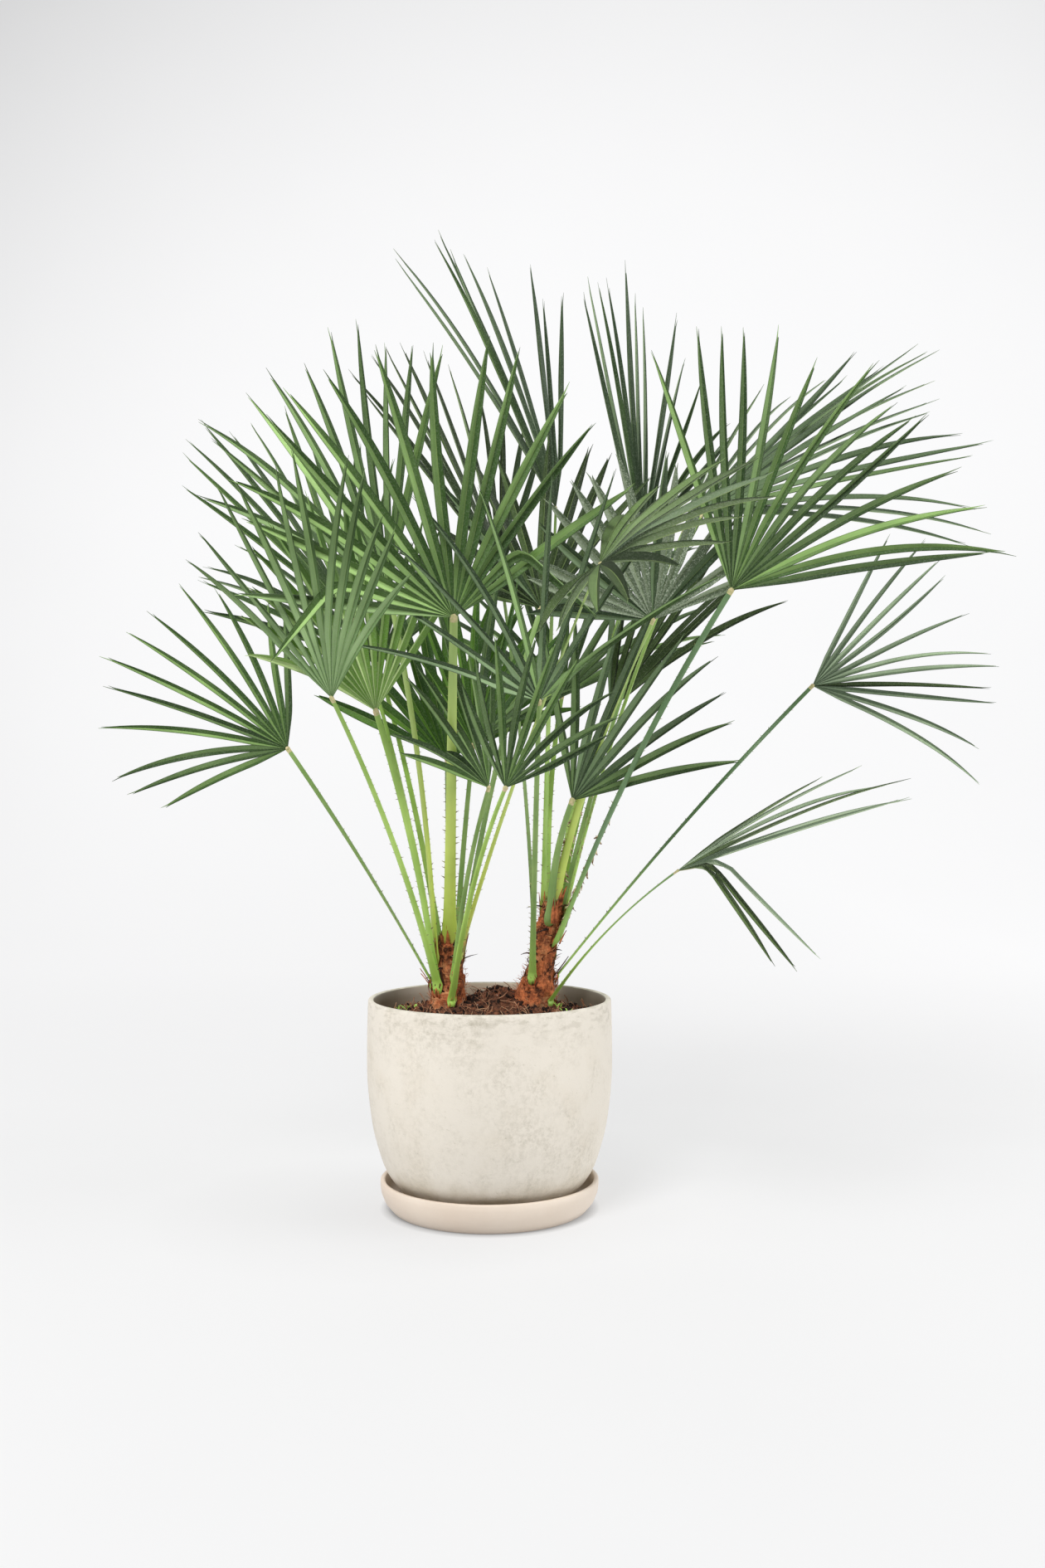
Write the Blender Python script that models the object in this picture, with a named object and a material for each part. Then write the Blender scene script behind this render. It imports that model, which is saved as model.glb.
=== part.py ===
"""Potted European fan palm, grown the way the real plant is put together.

Two short fibre-clad trunks stand on the soil of a round pot that sits in its
saucer. From each trunk rise tapering leaf stalks, and each stalk ends in a
palmate fan: pleated leaflets joined round the hub, free and pointed beyond.
Metres, +Z up, origin at the centre of the saucer's flat underside, X to the
right and Y away from the viewer of the photo.
"""
import math
import random

import bpy
import bmesh
from mathutils import Vector
from mathutils.bvhtree import BVHTree

# Saucer and pot, radii and heights of the turned shapes
SAUCER_FOOT_R = 0.112
SAUCER_RIM_R = 0.1247
SAUCER_H = 0.0345
SAUCER_FLOOR = 0.0087
POT_FOOT_Z = 0.009
POT_FOOT_R = 0.088
POT_BELLY_R = 0.140
POT_RIM_R = 0.139
POT_H = 0.2395
POT_INNER_R = 0.1325
POT_FLOOR = 0.019
ROUND_SIDES = 40

# Soil: a flat middle where the trunks stand, falling to the wall
SOIL_TOP = 0.222
SOIL_EDGE = 0.217
SOIL_FLAT_R = 0.090
SEAT = 0.00035

# Trunks: foot x, y and top x, y, height, and (height share, radius) steps
TRUNKS = {
    "left": ((-0.050, 0.030), (-0.047, 0.033), 0.074,
             ((0.0, 0.0245), (0.16, 0.0215), (0.42, 0.0185), (0.72, 0.0170), (1.0, 0.0140))),
    "right": ((0.048, 0.028), (0.073, 0.034), 0.122,
              ((0.0, 0.0270), (0.18, 0.0255), (0.40, 0.0195), (0.70, 0.0165), (1.0, 0.0120))),
}
TRUNK_SIDES = 11
TRUNK_ROUGH = 0.05
TRUNK_TWIST = 0.35

# Leaflets: share of the length for each row beyond the join, with its width;
# gap at the hub, depth of the pleats, thickness and how it falls off outwards
ROWS = ((0.45, 1.20), (0.76, 0.80))
HUB_GAP = 0.0007
PLEAT = 0.30
THIN = 0.0030
THIN_SHARE = 0.0101
THIN_TIP = 0.62
THIN_JOIN = 0.8
SIDE_ROOM = 0.76
DRIFT_CURVE = 1.2

# Bent leaflets: shortest cut that bends, and how the bent end falls
KINK_CUT = 0.6
FALL_AHEAD = 0.75
FALL_OUT = 0.20
FALL_SHORT = 0.85

# Clearance kept between pieces, and where a leaflet's free part starts
ROOM = 0.0007
ROOT_STEP = 0.002
ROOT_WIDE = 0.9

# Stalks: shares of the way from trunk to hub where a ring of five points sits
RINGS = (0.0, 0.14, 0.35, 0.58, 0.80, 1.0)
NECK = 0.013
STALK_FLAT = 0.56
STALK_SECTION = ((-1.0, 0.1), (-0.55, -0.9), (0.55, -0.9), (1.0, 0.1), (0.0, 0.55))
STALK_TAPER = 0.7
STALK_TWIST = 1.5
KNOB = 0.8
KNOB_DEEP = 0.5
KNOB_END = (0.62, 0.4)
TOP_SHARE = 0.35
REACH_OUT = 0.014
REACH_UP = 0.020
LOWEST_FOOT = 0.008

# Where a stalk may start instead, off its wanted azimuth, height and line
TURNS = (0, -8, 8, -16, 16, -24, 24, -34, 34, -46, 46)
RISES = (0, -0.006, 0.006, -0.012, 0.012, -0.02, 0.02, -0.03, 0.03)
SWAYS = (0, -0.012, 0.012, -0.024, 0.024)

# How a blade or a leaflet gives way to what stands already: turns of the blade
# in degrees, shares of a leaflet's length, and its side and upward nudges
LEANS = (0, 7, -7, 14, -14, 21, -21, 30, -30, 40, -40)
CUTS = (1.0, 0.93, 0.85, 0.76, 0.66, 0.56, 0.48)
NUDGES = ((0, 0), (0.04, 0), (-0.04, 0), (0, 0.07), (0, -0.07), (0.04, 0.07), (-0.04, 0.07),
          (0.04, -0.07), (-0.04, -0.07), (0, 0.14), (0, -0.14), (0.08, 0.05), (-0.08, 0.05),
          (0.08, -0.05), (-0.08, -0.05), (0.04, 0.2), (-0.04, 0.2), (0.04, -0.2), (-0.04, -0.2))
STUB_SHARE = 0.42
STUB_REACH = 1.35
ROW_STEP = 0.12

# How much leaflets differ: angle as a share of the step, cupping in degrees,
# length, droop, and their sideways and upward drift as shares of the length
ANGLE_PLAY = 0.10
CUP_PLAY = 1.5
LENGTH_PLAY = (0.93, 1.05)
SAG_PLAY = (0.5, 1.5)
DRIFT = 0.035
LIFT = 0.05

# Fronds. Trunk, height of the base on it and azimuth it leaves by; hub x, y, z;
# azimuth and rise of the middle leaflet; its length; azimuth and rise of the
# side that faces out; spread in degrees; leaflets; leaflet width; how much the
# outer ones are shorter; droop; cupping in degrees; stalk width at base and
# at hub; bow of the stalk; leaflets that are bent over, counted from one side,
# each with the share of its length at which it bends
FRONDS = (
    ("left_05", "left", 0.076, 262, (-0.035, -0.140, 0.660), (-141, 71), 0.286, (-90, 10),
     145, 15, 0.0120, 0.20, 0.05, 8, 0.0150, 0.0085, 0.010, ((1, 0.45), (13, 0.52))),
    ("right_05", "right", 0.124, 300, (0.185, -0.020, 0.670), (-115, 66), 0.190, (-90, -10),
     150, 15, 0.0125, 0.20, 0.05, 10, 0.0140, 0.0085, 0.012, ()),
    ("right_01", "right", 0.040, 250, (0.055, -0.170, 0.570), (180, 80), 0.240, (-80, 5),
     135, 9, 0.0100, 0.05, 0.16, 5, 0.0090, 0.0060, 0.010, ()),
    ("left_12", "left", 0.066, 320, (0.115, -0.220, 0.705), (-39, 16), 0.195, (-85, 50),
     210, 14, 0.0135, 0.35, 0.10, 5, 0.0100, 0.0070, 0.012, ()),
    ("left_02", "left", 0.030, 235, (-0.165, -0.130, 0.575), (-100, 66), 0.265, (-115, 15),
     82, 11, 0.0095, 0.22, 0.06, 8, 0.0120, 0.0070, 0.012, ()),
    ("left_04", "left", 0.045, 215, (-0.125, -0.060, 0.565), (-145, 72), 0.245, (-60, 10),
     100, 12, 0.0105, 0.30, 0.05, 10, 0.0130, 0.0075, 0.010, ()),
    ("left_06", "left", 0.060, 205, (-0.115, -0.010, 0.705), (175, 70), 0.295, (-112, 0),
     82, 11, 0.0095, 0.05, 0.05, 5, 0.0150, 0.0080, 0.010, ()),
    ("right_10", "right", 0.085, 325, (0.265, -0.090, 0.695), (-24, 57), 0.268, (-90, 20),
     105, 14, 0.0092, -0.08, 0.13, 4, 0.0100, 0.0065, 0.012, ()),
    ("right_09", "right", 0.102, 10, (0.250, 0.060, 0.805), (4, 20), 0.345, (-90, 40),
     66, 10, 0.0085, 0.06, 0.07, 0, 0.0120, 0.0070, 0.014, ()),
    ("right_03", "right", 0.112, 125, (0.080, 0.180, 0.833), (180, 70), 0.355, (-32, 17),
     75, 10, 0.0090, -0.05, 0.03, 5, 0.0100, 0.0065, 0.012, ()),
    ("right_07", "right", 0.112, 70, (0.185, 0.160, 0.780), (82, 77), 0.366, (-36, 0),
     84, 12, 0.0088, 0.15, 0.03, 5, 0.0110, 0.0065, 0.012, ()),
    ("right_08", "right", 0.100, 45, (0.241, 0.175, 0.805), (22, 41), 0.400, (-148, 43),
     78, 11, 0.0088, 0.15, 0.05, 3, 0.0100, 0.0065, 0.014, ()),
    ("right_02", "right", 0.090, 150, (0.010, 0.120, 0.745), (138, 64), 0.325, (-40, 0),
     84, 11, 0.0090, 0.15, 0.05, 5, 0.0100, 0.0065, 0.012, ()),
    ("left_03", "left", 0.050, 165, (-0.170, 0.120, 0.685), (152, 61), 0.318, (-50, 10),
     80, 11, 0.0088, 0.18, 0.08, 5, 0.0110, 0.0065, 0.014, ()),
    ("left_07", "left", 0.062, 95, (-0.055, 0.120, 0.515), (88, 72), 0.250, (-90, 10),
     135, 13, 0.0125, 0.25, 0.05, 5, 0.0100, 0.0065, 0.012, ()),
    ("left_09", "left", 0.060, 40, (0.060, 0.080, 0.695), (64, 72), 0.225, (-90, 30),
     180, 14, 0.0110, 0.25, 0.06, 5, 0.0110, 0.0070, 0.010, ()),
    ("left_08", "left", 0.064, 70, (-0.020, 0.030, 0.530), (55, 77), 0.215, (-60, 0),
     105, 11, 0.0095, 0.25, 0.05, 5, 0.0090, 0.0060, 0.008, ()),
    ("right_04", "right", 0.110, 270, (0.095, 0.010, 0.465), (-20, 56), 0.238, (-125, 0),
     88, 9, 0.0100, 0.08, 0.05, 4, 0.0120, 0.0080, 0.006, ()),
    ("right_06", "right", 0.070, 50, (0.145, 0.130, 0.575), (5, 60), 0.300, (-80, 10),
     66, 9, 0.0095, 0.15, 0.05, 5, 0.0100, 0.0065, 0.012, ()),
    ("left_10", "left", 0.040, 300, (0.000, -0.050, 0.480), (-150, 55), 0.165, (-90, 10),
     84, 8, 0.0085, 0.15, 0.07, 5, 0.0090, 0.0060, 0.010, ()),
    ("left_01", "left", 0.032, 180, (-0.235, 0.020, 0.525), (-171, 34), 0.235, (-80, 20),
     128, 12, 0.0080, 0.30, 0.08, 5, 0.0110, 0.0065, 0.004, ()),
    ("right_11", "right", 0.040, 5, (0.380, 0.050, 0.600), (0, 18), 0.214, (-90, 10),
     98, 11, 0.0072, 0.00, 0.05, 5, 0.0090, 0.0055, 0.006, ()),
    ("left_11", "left", 0.012, 285, (0.020, -0.170, 0.480), (-50, 62), 0.172, (-90, 15),
     92, 9, 0.0092, 0.25, 0.06, 5, 0.0110, 0.0060, 0.020, ()),
    ("right_12", "right", 0.012, 320, (0.205, -0.100, 0.390), (-12, 21), 0.262, (-131, 62),
     68, 9, 0.0076, 0.22, 0.05, 3, 0.0085, 0.0055, 0.010, ((0, 0.20), (1, 0.18), (2, 0.22))),
    ("left_13", "left", 0.060, 125, (-0.150, 0.230, 0.640), (125, 48), 0.300, (-70, 20),
     130, 13, 0.0110, 0.25, 0.08, 8, 0.0110, 0.0065, 0.014, ()),
    ("right_13", "right", 0.080, 80, (0.090, 0.280, 0.600), (85, 42), 0.310, (-90, 30),
     130, 13, 0.0110, 0.25, 0.10, 8, 0.0110, 0.0065, 0.014, ()),
)

# Colours and roughness of the plain materials
COLOURS = {
    "pot": ((0.74, 0.70, 0.63), 0.75),
    "saucer": ((0.66, 0.55, 0.47), 0.70),
    "soil": ((0.09, 0.045, 0.028), 0.95),
    "trunk": ((0.20, 0.09, 0.05), 0.90),
    "stalk": ((0.30, 0.44, 0.12), 0.50),
    "fan": ((0.13, 0.27, 0.09), 0.55),
}

# Kinds that are shaded round, and the angle from which an edge stays sharp
ROUNDED = ("pot", "saucer", "soil", "trunk", "stalk")
SHARP_ANGLE = math.radians(42)

UP = Vector((0, 0, 1))


def clear_scene():
    for old in list(bpy.data.objects):
        bpy.data.objects.remove(old, do_unlink=True)


def triangles(faces):
    """Every face as a fan of triangles, the same way wherever it is used."""
    return [(f[0], f[k], f[k + 1]) for f in faces for k in range(1, len(f) - 1)]


def add_object(name, kind, verts, faces):
    mesh = bpy.data.meshes.new(name)
    mesh.from_pydata([tuple(v) for v in verts], [], triangles(faces))
    build = bmesh.new()
    build.from_mesh(mesh)
    bmesh.ops.recalc_face_normals(build, faces=build.faces[:])
    build.to_mesh(mesh)
    build.free()
    if kind in ROUNDED:
        mesh.shade_smooth()
        mesh.set_sharp_from_angle(angle=SHARP_ANGLE)
    colour, rough = COLOURS[kind]
    mat = bpy.data.materials.new(name)
    mat.use_nodes = True
    shader = mat.node_tree.nodes["Principled BSDF"]
    shader.inputs["Base Color"].default_value = (*colour, 1)
    shader.inputs["Roughness"].default_value = rough
    mesh.materials.append(mat)
    made = bpy.data.objects.new(name, mesh)
    bpy.context.scene.collection.objects.link(made)
    return made


def turn(profile, sides):
    """A shape turned about Z; the profile starts and ends on the axis."""
    verts, faces = [Vector((0, 0, profile[0][1]))], []
    for r, z in profile[1:-1]:
        for k in range(sides):
            a = 2 * math.pi * k / sides
            verts.append(Vector((r * math.cos(a), r * math.sin(a), z)))
    verts.append(Vector((0, 0, profile[-1][1])))
    last, rings = len(verts) - 1, len(profile) - 2
    for k in range(sides):
        n = (k + 1) % sides
        faces.append((0, 1 + n, 1 + k))
        for j in range(rings - 1):
            a, b = 1 + j * sides, 1 + (j + 1) * sides
            faces.append((a + k, a + n, b + n, b + k))
        top = 1 + (rings - 1) * sides
        faces.append((top + k, top + n, last))
    return verts, faces


def pot_walls():
    """Outer and inner profile of the pot, foot to rim."""
    outer = [(POT_FOOT_R, POT_FOOT_Z), (0.100, 0.0210), (0.113, 0.0375), (0.1205, 0.051),
             (0.127, 0.070), (0.134, 0.0985), (0.1395, 0.146), (POT_BELLY_R, 0.194),
             (POT_RIM_R, POT_H - 0.0025), (POT_RIM_R - 0.0022, POT_H)]
    inner = [(POT_INNER_R + 0.0022, POT_H), (POT_INNER_R, POT_H - 0.0025), (POT_INNER_R, 0.194),
             (0.1318, 0.146), (0.1262, 0.0985), (0.113, 0.056), (0.095, 0.028),
             (0.080, POT_FLOOR)]
    return outer, inner


def make_pot():
    outer, inner = pot_walls()
    shape = [(0, POT_FOOT_Z)] + outer + inner + [(0, POT_FLOOR)]
    add_object("pot", "pot", *turn(shape, ROUND_SIDES))


def make_saucer():
    shape = [(0, 0), (SAUCER_FOOT_R - 0.002, 0), (SAUCER_FOOT_R, 0.0012), (0.1195, 0.0100),
             (0.1236, 0.0200), (SAUCER_RIM_R, 0.0270), (SAUCER_RIM_R, SAUCER_H - 0.0012),
             (0.1236, SAUCER_H), (0.1204, SAUCER_H), (0.1193, SAUCER_H - 0.0012),
             (0.1184, 0.0220), (0.1140, 0.0125), (0.1060, SAUCER_FLOOR), (0, SAUCER_FLOOR)]
    add_object("saucer", "saucer", *turn(shape, ROUND_SIDES))


def soil_shape():
    """The soil fills the pot, one seat's width off its wall."""
    floor = POT_FLOOR + SEAT
    off = SEAT / math.cos(math.pi / ROUND_SIDES) + 0.0002
    return [(0, floor), (0.0795, floor), (0.095 - off, 0.0286), (0.113 - off, 0.0565),
            (0.1262 - off, 0.0988), (0.1318 - off, 0.1462), (POT_INNER_R - off, 0.194),
            (POT_INNER_R - off, SOIL_EDGE), (0.112, SOIL_EDGE + 0.0030),
            (SOIL_FLAT_R, SOIL_TOP), (0, SOIL_TOP)]


def trunk_shape(side):
    """Tapering ragged tube with flat ends, leaning from foot to top."""
    foot, head, height, steps = TRUNKS[side]
    rng = random.Random(31 if side == "left" else 47)
    verts, faces = [], []
    for share, radius in steps:
        cx = foot[0] + (head[0] - foot[0]) * share
        cy = foot[1] + (head[1] - foot[1]) * share
        for k in range(TRUNK_SIDES):
            a = 2 * math.pi * (k + TRUNK_TWIST * share) / TRUNK_SIDES
            r = radius * (1 + TRUNK_ROUGH * rng.uniform(-1, 1))
            verts.append(Vector((cx + r * math.cos(a), cy + r * math.sin(a),
                                 SOIL_TOP + SEAT + height * share)))
    n = TRUNK_SIDES
    for j in range(len(steps) - 1):
        for k in range(n):
            m = (k + 1) % n
            faces.append((j * n + k, j * n + m, (j + 1) * n + m, (j + 1) * n + k))
    faces.append(tuple(range(n)))
    faces.append(tuple((len(steps) - 1) * n + k for k in range(n)))
    return verts, faces


def trunk_at(side, rise):
    """Centre and radius of a trunk at a height over the soil."""
    foot, head, height, steps = TRUNKS[side]
    share = min(1.0, rise / height)
    low, high = steps[0], steps[-1]
    for one, two in zip(steps, steps[1:]):
        if one[0] <= share <= two[0]:
            low, high = one, two
    t = (share - low[0]) / max(1e-6, high[0] - low[0])
    centre = Vector((foot[0] + (head[0] - foot[0]) * share,
                     foot[1] + (head[1] - foot[1]) * share, SOIL_TOP + SEAT + height * share))
    return centre, low[1] + (high[1] - low[1]) * t


def heading(azimuth, rise):
    a, e = math.radians(azimuth), math.radians(rise)
    return Vector((math.cos(e) * math.cos(a), math.cos(e) * math.sin(a), math.sin(e)))


def square_to(v, axis):
    """The part of v that is square to axis, at unit length."""
    return (v - axis * v.dot(axis)).normalized()


class Frond:
    """One leaf: the numbers of its row, with its own frame of three axes."""

    def __init__(self, index, row):
        (self.name, self.side, self.rise, self.leave, hub, lead, self.reach, face,
         self.spread, self.count, self.wide, self.short, self.sag, self.cup,
         self.base_w, self.neck_w, self.bow, self.bent) = row
        self.hub = Vector(hub)
        self.ahead = heading(*lead)
        self.face = square_to(heading(*face), self.ahead)
        self.across = self.face.cross(self.ahead)
        self.seed = 100 + 7 * index
        self.thick = max(THIN, THIN_SHARE * self.reach)
        step = math.radians(self.spread / self.count)
        self.join = self.wide / (2 * math.tan(step / 2))

    def lean(self, angle):
        """Turn the blade about its middle leaflet."""
        self.face = (self.face * math.cos(angle) + self.across * math.sin(angle)).normalized()
        self.across = self.face.cross(self.ahead)


def stalk_mesh(frond, base, sway, pad=0.0):
    """Tapering stalk, flat above and rounded below, ending inside the hub."""
    hub = frond.hub
    chord = hub - base
    rise = square_to(UP, chord.normalized())
    aside = chord.normalized().cross(rise)
    middle = (base + hub) / 2 + rise * 2 * frond.bow + aside * sway
    rings = []
    for share in RINGS:
        t = share * (1 - NECK / chord.length)
        p = base * (1 - t) ** 2 + middle * 2 * t * (1 - t) + hub * t * t
        along = ((middle - base) * (1 - t) + (hub - middle) * t).normalized()
        rings.append((t, p, along))
    out = square_to(heading(frond.leave, 0), rings[0][2])
    side = rings[0][2].cross(out)
    goal = frond.across
    verts, before = [], rings[0][2]
    turned = []
    for t, p, along in rings:
        side = before.rotation_difference(along) @ side
        before = along
        turned.append((t, p, along, side.copy()))
    last = square_to(goal, turned[-1][2])
    if last.dot(turned[-1][3]) < 0:
        last = -last
    swing = turned[-1][3].angle(last)
    if turned[-1][3].cross(last).dot(turned[-1][2]) < 0:
        swing = -swing
    for t, p, along, s in turned:
        a = swing * t ** STALK_TWIST
        s = s * math.cos(a) + along.cross(s) * math.sin(a)
        half = (frond.base_w + (frond.neck_w - frond.base_w) * t ** STALK_TAPER) / 2
        add_ring(verts, p, s, along.cross(s), half + pad, half * STALK_FLAT + pad)
    knob = frond.across if frond.across.dot(last) > 0 else -frond.across
    half = frond.neck_w / 2
    up = frond.ahead.cross(knob)
    add_ring(verts, hub, knob, up, half + pad, half * KNOB_DEEP + pad)
    add_ring(verts, hub + frond.ahead * (half * KNOB + pad), knob, up,
             half * KNOB_END[0] + pad, half * KNOB_END[1] + pad)
    return verts, tube_faces(len(RINGS) + 2, len(STALK_SECTION))


def add_ring(verts, p, s, u, half, deep):
    for x, y in STALK_SECTION:
        verts.append(p + s * (x * half) + u * (y * deep))


def tube_faces(rings, n):
    faces = [tuple(range(n))]
    for j in range(rings - 1):
        for k in range(n):
            m = (k + 1) % n
            faces.append((j * n + k, j * n + m, (j + 1) * n + m, (j + 1) * n + k))
    faces.append(tuple((rings - 1) * n + k for k in range(n)))
    return faces


def tree(verts, faces):
    return BVHTree.FromPolygons([tuple(v) for v in verts], triangles(faces), epsilon=0.0)


def nearest(verts, faces, body):
    """Smallest gap between a small mesh and a body, by corners both ways."""
    own = tree(verts, faces)
    if own.overlap(body[2]):
        return -1.0
    points = list(verts) + [(verts[f[k]] + verts[f[k - 1]]) / 2 for f in faces
                            for k in range(len(f))]
    gap = min(body[2].find_nearest(p)[3] for p in points)
    return min(gap, min(own.find_nearest(p)[3] for p in body[0]))


def seat_stalk(frond, azimuth, rise, sway, trunk):
    """Slide the foot of the stalk off the trunk until it sits one seat away."""
    centre, radius = trunk_at(frond.side, rise)
    height = TRUNKS[frond.side][2]
    if rise >= height:
        start = centre + heading(azimuth, 0) * radius * TOP_SHARE
        move, far = UP.copy(), REACH_UP
    else:
        start, move, far = centre, heading(azimuth, 0), radius + REACH_OUT
    low, high = 0.0, far
    foot = tube_faces(3, len(STALK_SECTION))
    for _ in range(11):
        mid = (low + high) / 2
        verts, _ = stalk_mesh(frond, start + move * mid, sway)
        if nearest(verts[:3 * len(STALK_SECTION)], foot, trunk) < SEAT:
            low = mid
        else:
            high = mid
    return start + move * high


class Grown:
    """All that stands already, to test each new piece against."""

    def __init__(self):
        self.parts = {}

    def around(self, skip=""):
        """One tree of every face but those of the named piece."""
        verts, faces = [], []
        for name, (v, f) in self.parts.items():
            if name != skip:
                shift = len(verts)
                verts += [tuple(p) for p in v]
                faces += [tuple(i + shift for i in face) for face in f]
        return tree(verts, faces)


def grow_stalk(frond, trunks, grown):
    """First foot near the wanted one whose stalk passes all others."""
    around = grown.around()
    height = TRUNKS[frond.side][2]
    tries = [(abs(da) / TURNS[2] + abs(dr) / RISES[2] + abs(sw) / SWAYS[2], da, dr, sw)
             for da in TURNS for dr in RISES for sw in SWAYS]
    for _, da, dr, sw in sorted(tries):
        rise = frond.rise + dr
        if rise < LOWEST_FOOT or (frond.rise < height) != (rise < height):
            continue
        azimuth = frond.leave + da
        base = seat_stalk(frond, azimuth, rise, sw, trunks[frond.side])
        plain = stalk_mesh(frond, base, sw)
        if any(tree(*plain).overlap(trunk[2]) for trunk in trunks.values()):
            continue
        if not tree(*stalk_mesh(frond, base, sw, pad=ROOM)).overlap(around):
            return plain
    raise ValueError("no room for the stalk of " + frond.name)


class Leaflet:
    """Course of one leaflet: straight from the hub, then drooping or bent."""

    def __init__(self, frond, index, rng):
        share = 2 * index / (frond.count - 1) - 1
        step = math.radians(frond.spread) / frond.count
        wide = step * (frond.count - 1) / 2
        self.angle = share * wide + step * ANGLE_PLAY * rng.uniform(-1, 1)
        cup = math.radians(frond.cup * abs(share) + rng.uniform(-CUP_PLAY, CUP_PLAY))
        flat = frond.ahead * math.cos(self.angle) + frond.across * math.sin(self.angle)
        self.go = (flat * math.cos(cup) + frond.face * math.sin(cup)).normalized()
        self.face = square_to(frond.face, self.go)
        self.side = self.face.cross(self.go)
        self.length = frond.reach * (1 - frond.short * share * share) * rng.uniform(*LENGTH_PLAY)
        self.sag = frond.sag * rng.uniform(*SAG_PLAY)
        self.hub, self.join = frond.hub, frond.join
        self.knee = dict(frond.bent).get(index, 0.0)
        self.drift, self.rise = DRIFT * rng.uniform(-1, 1), LIFT * rng.uniform(-1, 1)
        self.cut, self.yaw, self.lift = 1.0, 0.0, 0.0

    def point(self, t):
        """Point at a share t of the length, 0 at the hub and 1 at the tip."""
        reach = self.length * self.cut
        free = max(0.0, t - self.join / reach)
        p = self.hub + self.go * reach * t
        p += self.side * (self.yaw + self.drift) * reach * free ** DRIFT_CURVE
        p += self.face * (self.lift + self.rise) * reach * free ** DRIFT_CURVE
        drop = -UP + self.go * self.go.z
        p += drop * self.sag * reach * free * free
        if self.knee and self.cut > KINK_CUT and t > self.knee:
            fall = (-UP + self.go * FALL_AHEAD + self.face * FALL_OUT).normalized()
            p = self.point(self.knee) + fall * reach * (t - self.knee) * FALL_SHORT
        return p

    def course(self, rows):
        """Rows of (point, side, upper, half width) from the join to the tip."""
        reach = self.length * self.cut
        shares = [self.join / reach] + [max(r, self.join / reach + ROW_STEP * (k + 1))
                                        for k, (r, _) in enumerate(rows)] + [1.0]
        pts = [self.point(t) for t in shares]
        out, side, before = [], self.side.copy(), self.go.copy()
        for k, p in enumerate(pts):
            one = pts[k] - pts[k - 1] if k else self.go
            two = pts[k + 1] - pts[k] if k + 1 < len(pts) else one
            along = (one.normalized() + two.normalized()).normalized() if k else self.go
            side = before.rotation_difference(along) @ side
            before = along
            out.append((p, side.copy(), along.cross(side)))
        return out


def fan_rows(frond, leaflet, rows, pad=0.0):
    """The four corners of each free row of a leaflet, and its tip."""
    half = leaflet.join * math.tan(math.radians(frond.spread) / frond.count / 2)
    got = leaflet.course(rows)
    corners = []
    for (p, side, upper), (_, share) in zip(got[1:-1], rows):
        room = (p - frond.hub).length * half / leaflet.join
        w = min(half * share, room * SIDE_ROOM) + pad
        t = frond.thick * (THIN_TIP + (1 - THIN_TIP) * min(1.0, share)) / 2 + pad
        up = upper if upper.dot(leaflet.face) > 0 or leaflet.knee else -upper
        edge = up * (PLEAT * w)
        corners.append((p - side * w + edge, p + up * t, p + side * w + edge, p - up * t))
    return corners, got[-1][0] + (got[-1][0] - got[-2][0]).normalized() * pad


def join_points(frond, leaflets):
    """Directions of the pleat lines between the leaflets, ends included."""
    step = math.radians(frond.spread) / frond.count
    lines = []
    for k in range(frond.count + 1):
        if k == 0:
            one = leaflets[0]
            go = one.go * math.cos(step / 2) - one.side * math.sin(step / 2)
            face = one.face
        elif k == frond.count:
            one = leaflets[-1]
            go = one.go * math.cos(step / 2) + one.side * math.sin(step / 2)
            face = one.face
        else:
            go = (leaflets[k - 1].go + leaflets[k].go).normalized()
            face = (leaflets[k - 1].face + leaflets[k].face).normalized()
        lines.append((go, square_to(face, go)))
    return lines


def fan_mesh(frond, leaflets, rows):
    """The whole blade as one closed body."""
    verts, faces = [], []
    n, t = frond.count, frond.thick / 2
    ridge = PLEAT * frond.join * math.tan(math.radians(frond.spread) / n / 2)

    def put(*points):
        verts.extend(points)
        return list(range(len(verts) - len(points), len(verts)))

    inner, outer, mids = [], [], []
    for go, face in join_points(frond, leaflets):
        p = frond.hub + go * (frond.neck_w / 2 + HUB_GAP)
        inner.append(put(p + face * t, p - face * t))
        p = frond.hub + go * frond.join + face * ridge
        outer.append(put(p + face * t * THIN_JOIN, p - face * t * THIN_JOIN))
    for one in leaflets:
        p = frond.hub + one.go * frond.join
        mids.append(put(p + one.face * t, p - one.face * t))
    faces.append((inner[0][0], outer[0][0], outer[0][1], inner[0][1]))
    faces.append((inner[n][0], inner[n][1], outer[n][1], outer[n][0]))
    for k, one in enumerate(leaflets):
        (at, ab), (bt, bb) = inner[k], inner[k + 1]
        (jt, jb), (kt, kb) = outer[k], outer[k + 1]
        ct, cb = mids[k]
        faces += [(at, ab, bb, bt), (at, bt, ct), (bt, kt, ct), (at, ct, jt),
                  (ab, cb, bb), (bb, cb, kb), (ab, jb, cb)]
        corners, tip = fan_rows(frond, one, rows)
        ring = put(*corners[0])
        left, top, right, low = ring
        faces += [(jt, ct, top, left), (ct, kt, right, top), (jb, left, low, cb),
                  (cb, low, right, kb), (jt, left, jb), (kt, kb, right)]
        for row in corners[1:]:
            after = put(*row)
            for a, b in ((0, 1), (1, 2), (2, 3), (3, 0)):
                faces.append((ring[a], ring[b], after[b], after[a]))
            ring = after
        end = put(tip)[0]
        for a, b in ((0, 1), (1, 2), (2, 3), (3, 0)):
            faces.append((ring[a], ring[b], end))
    return verts, faces


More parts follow.
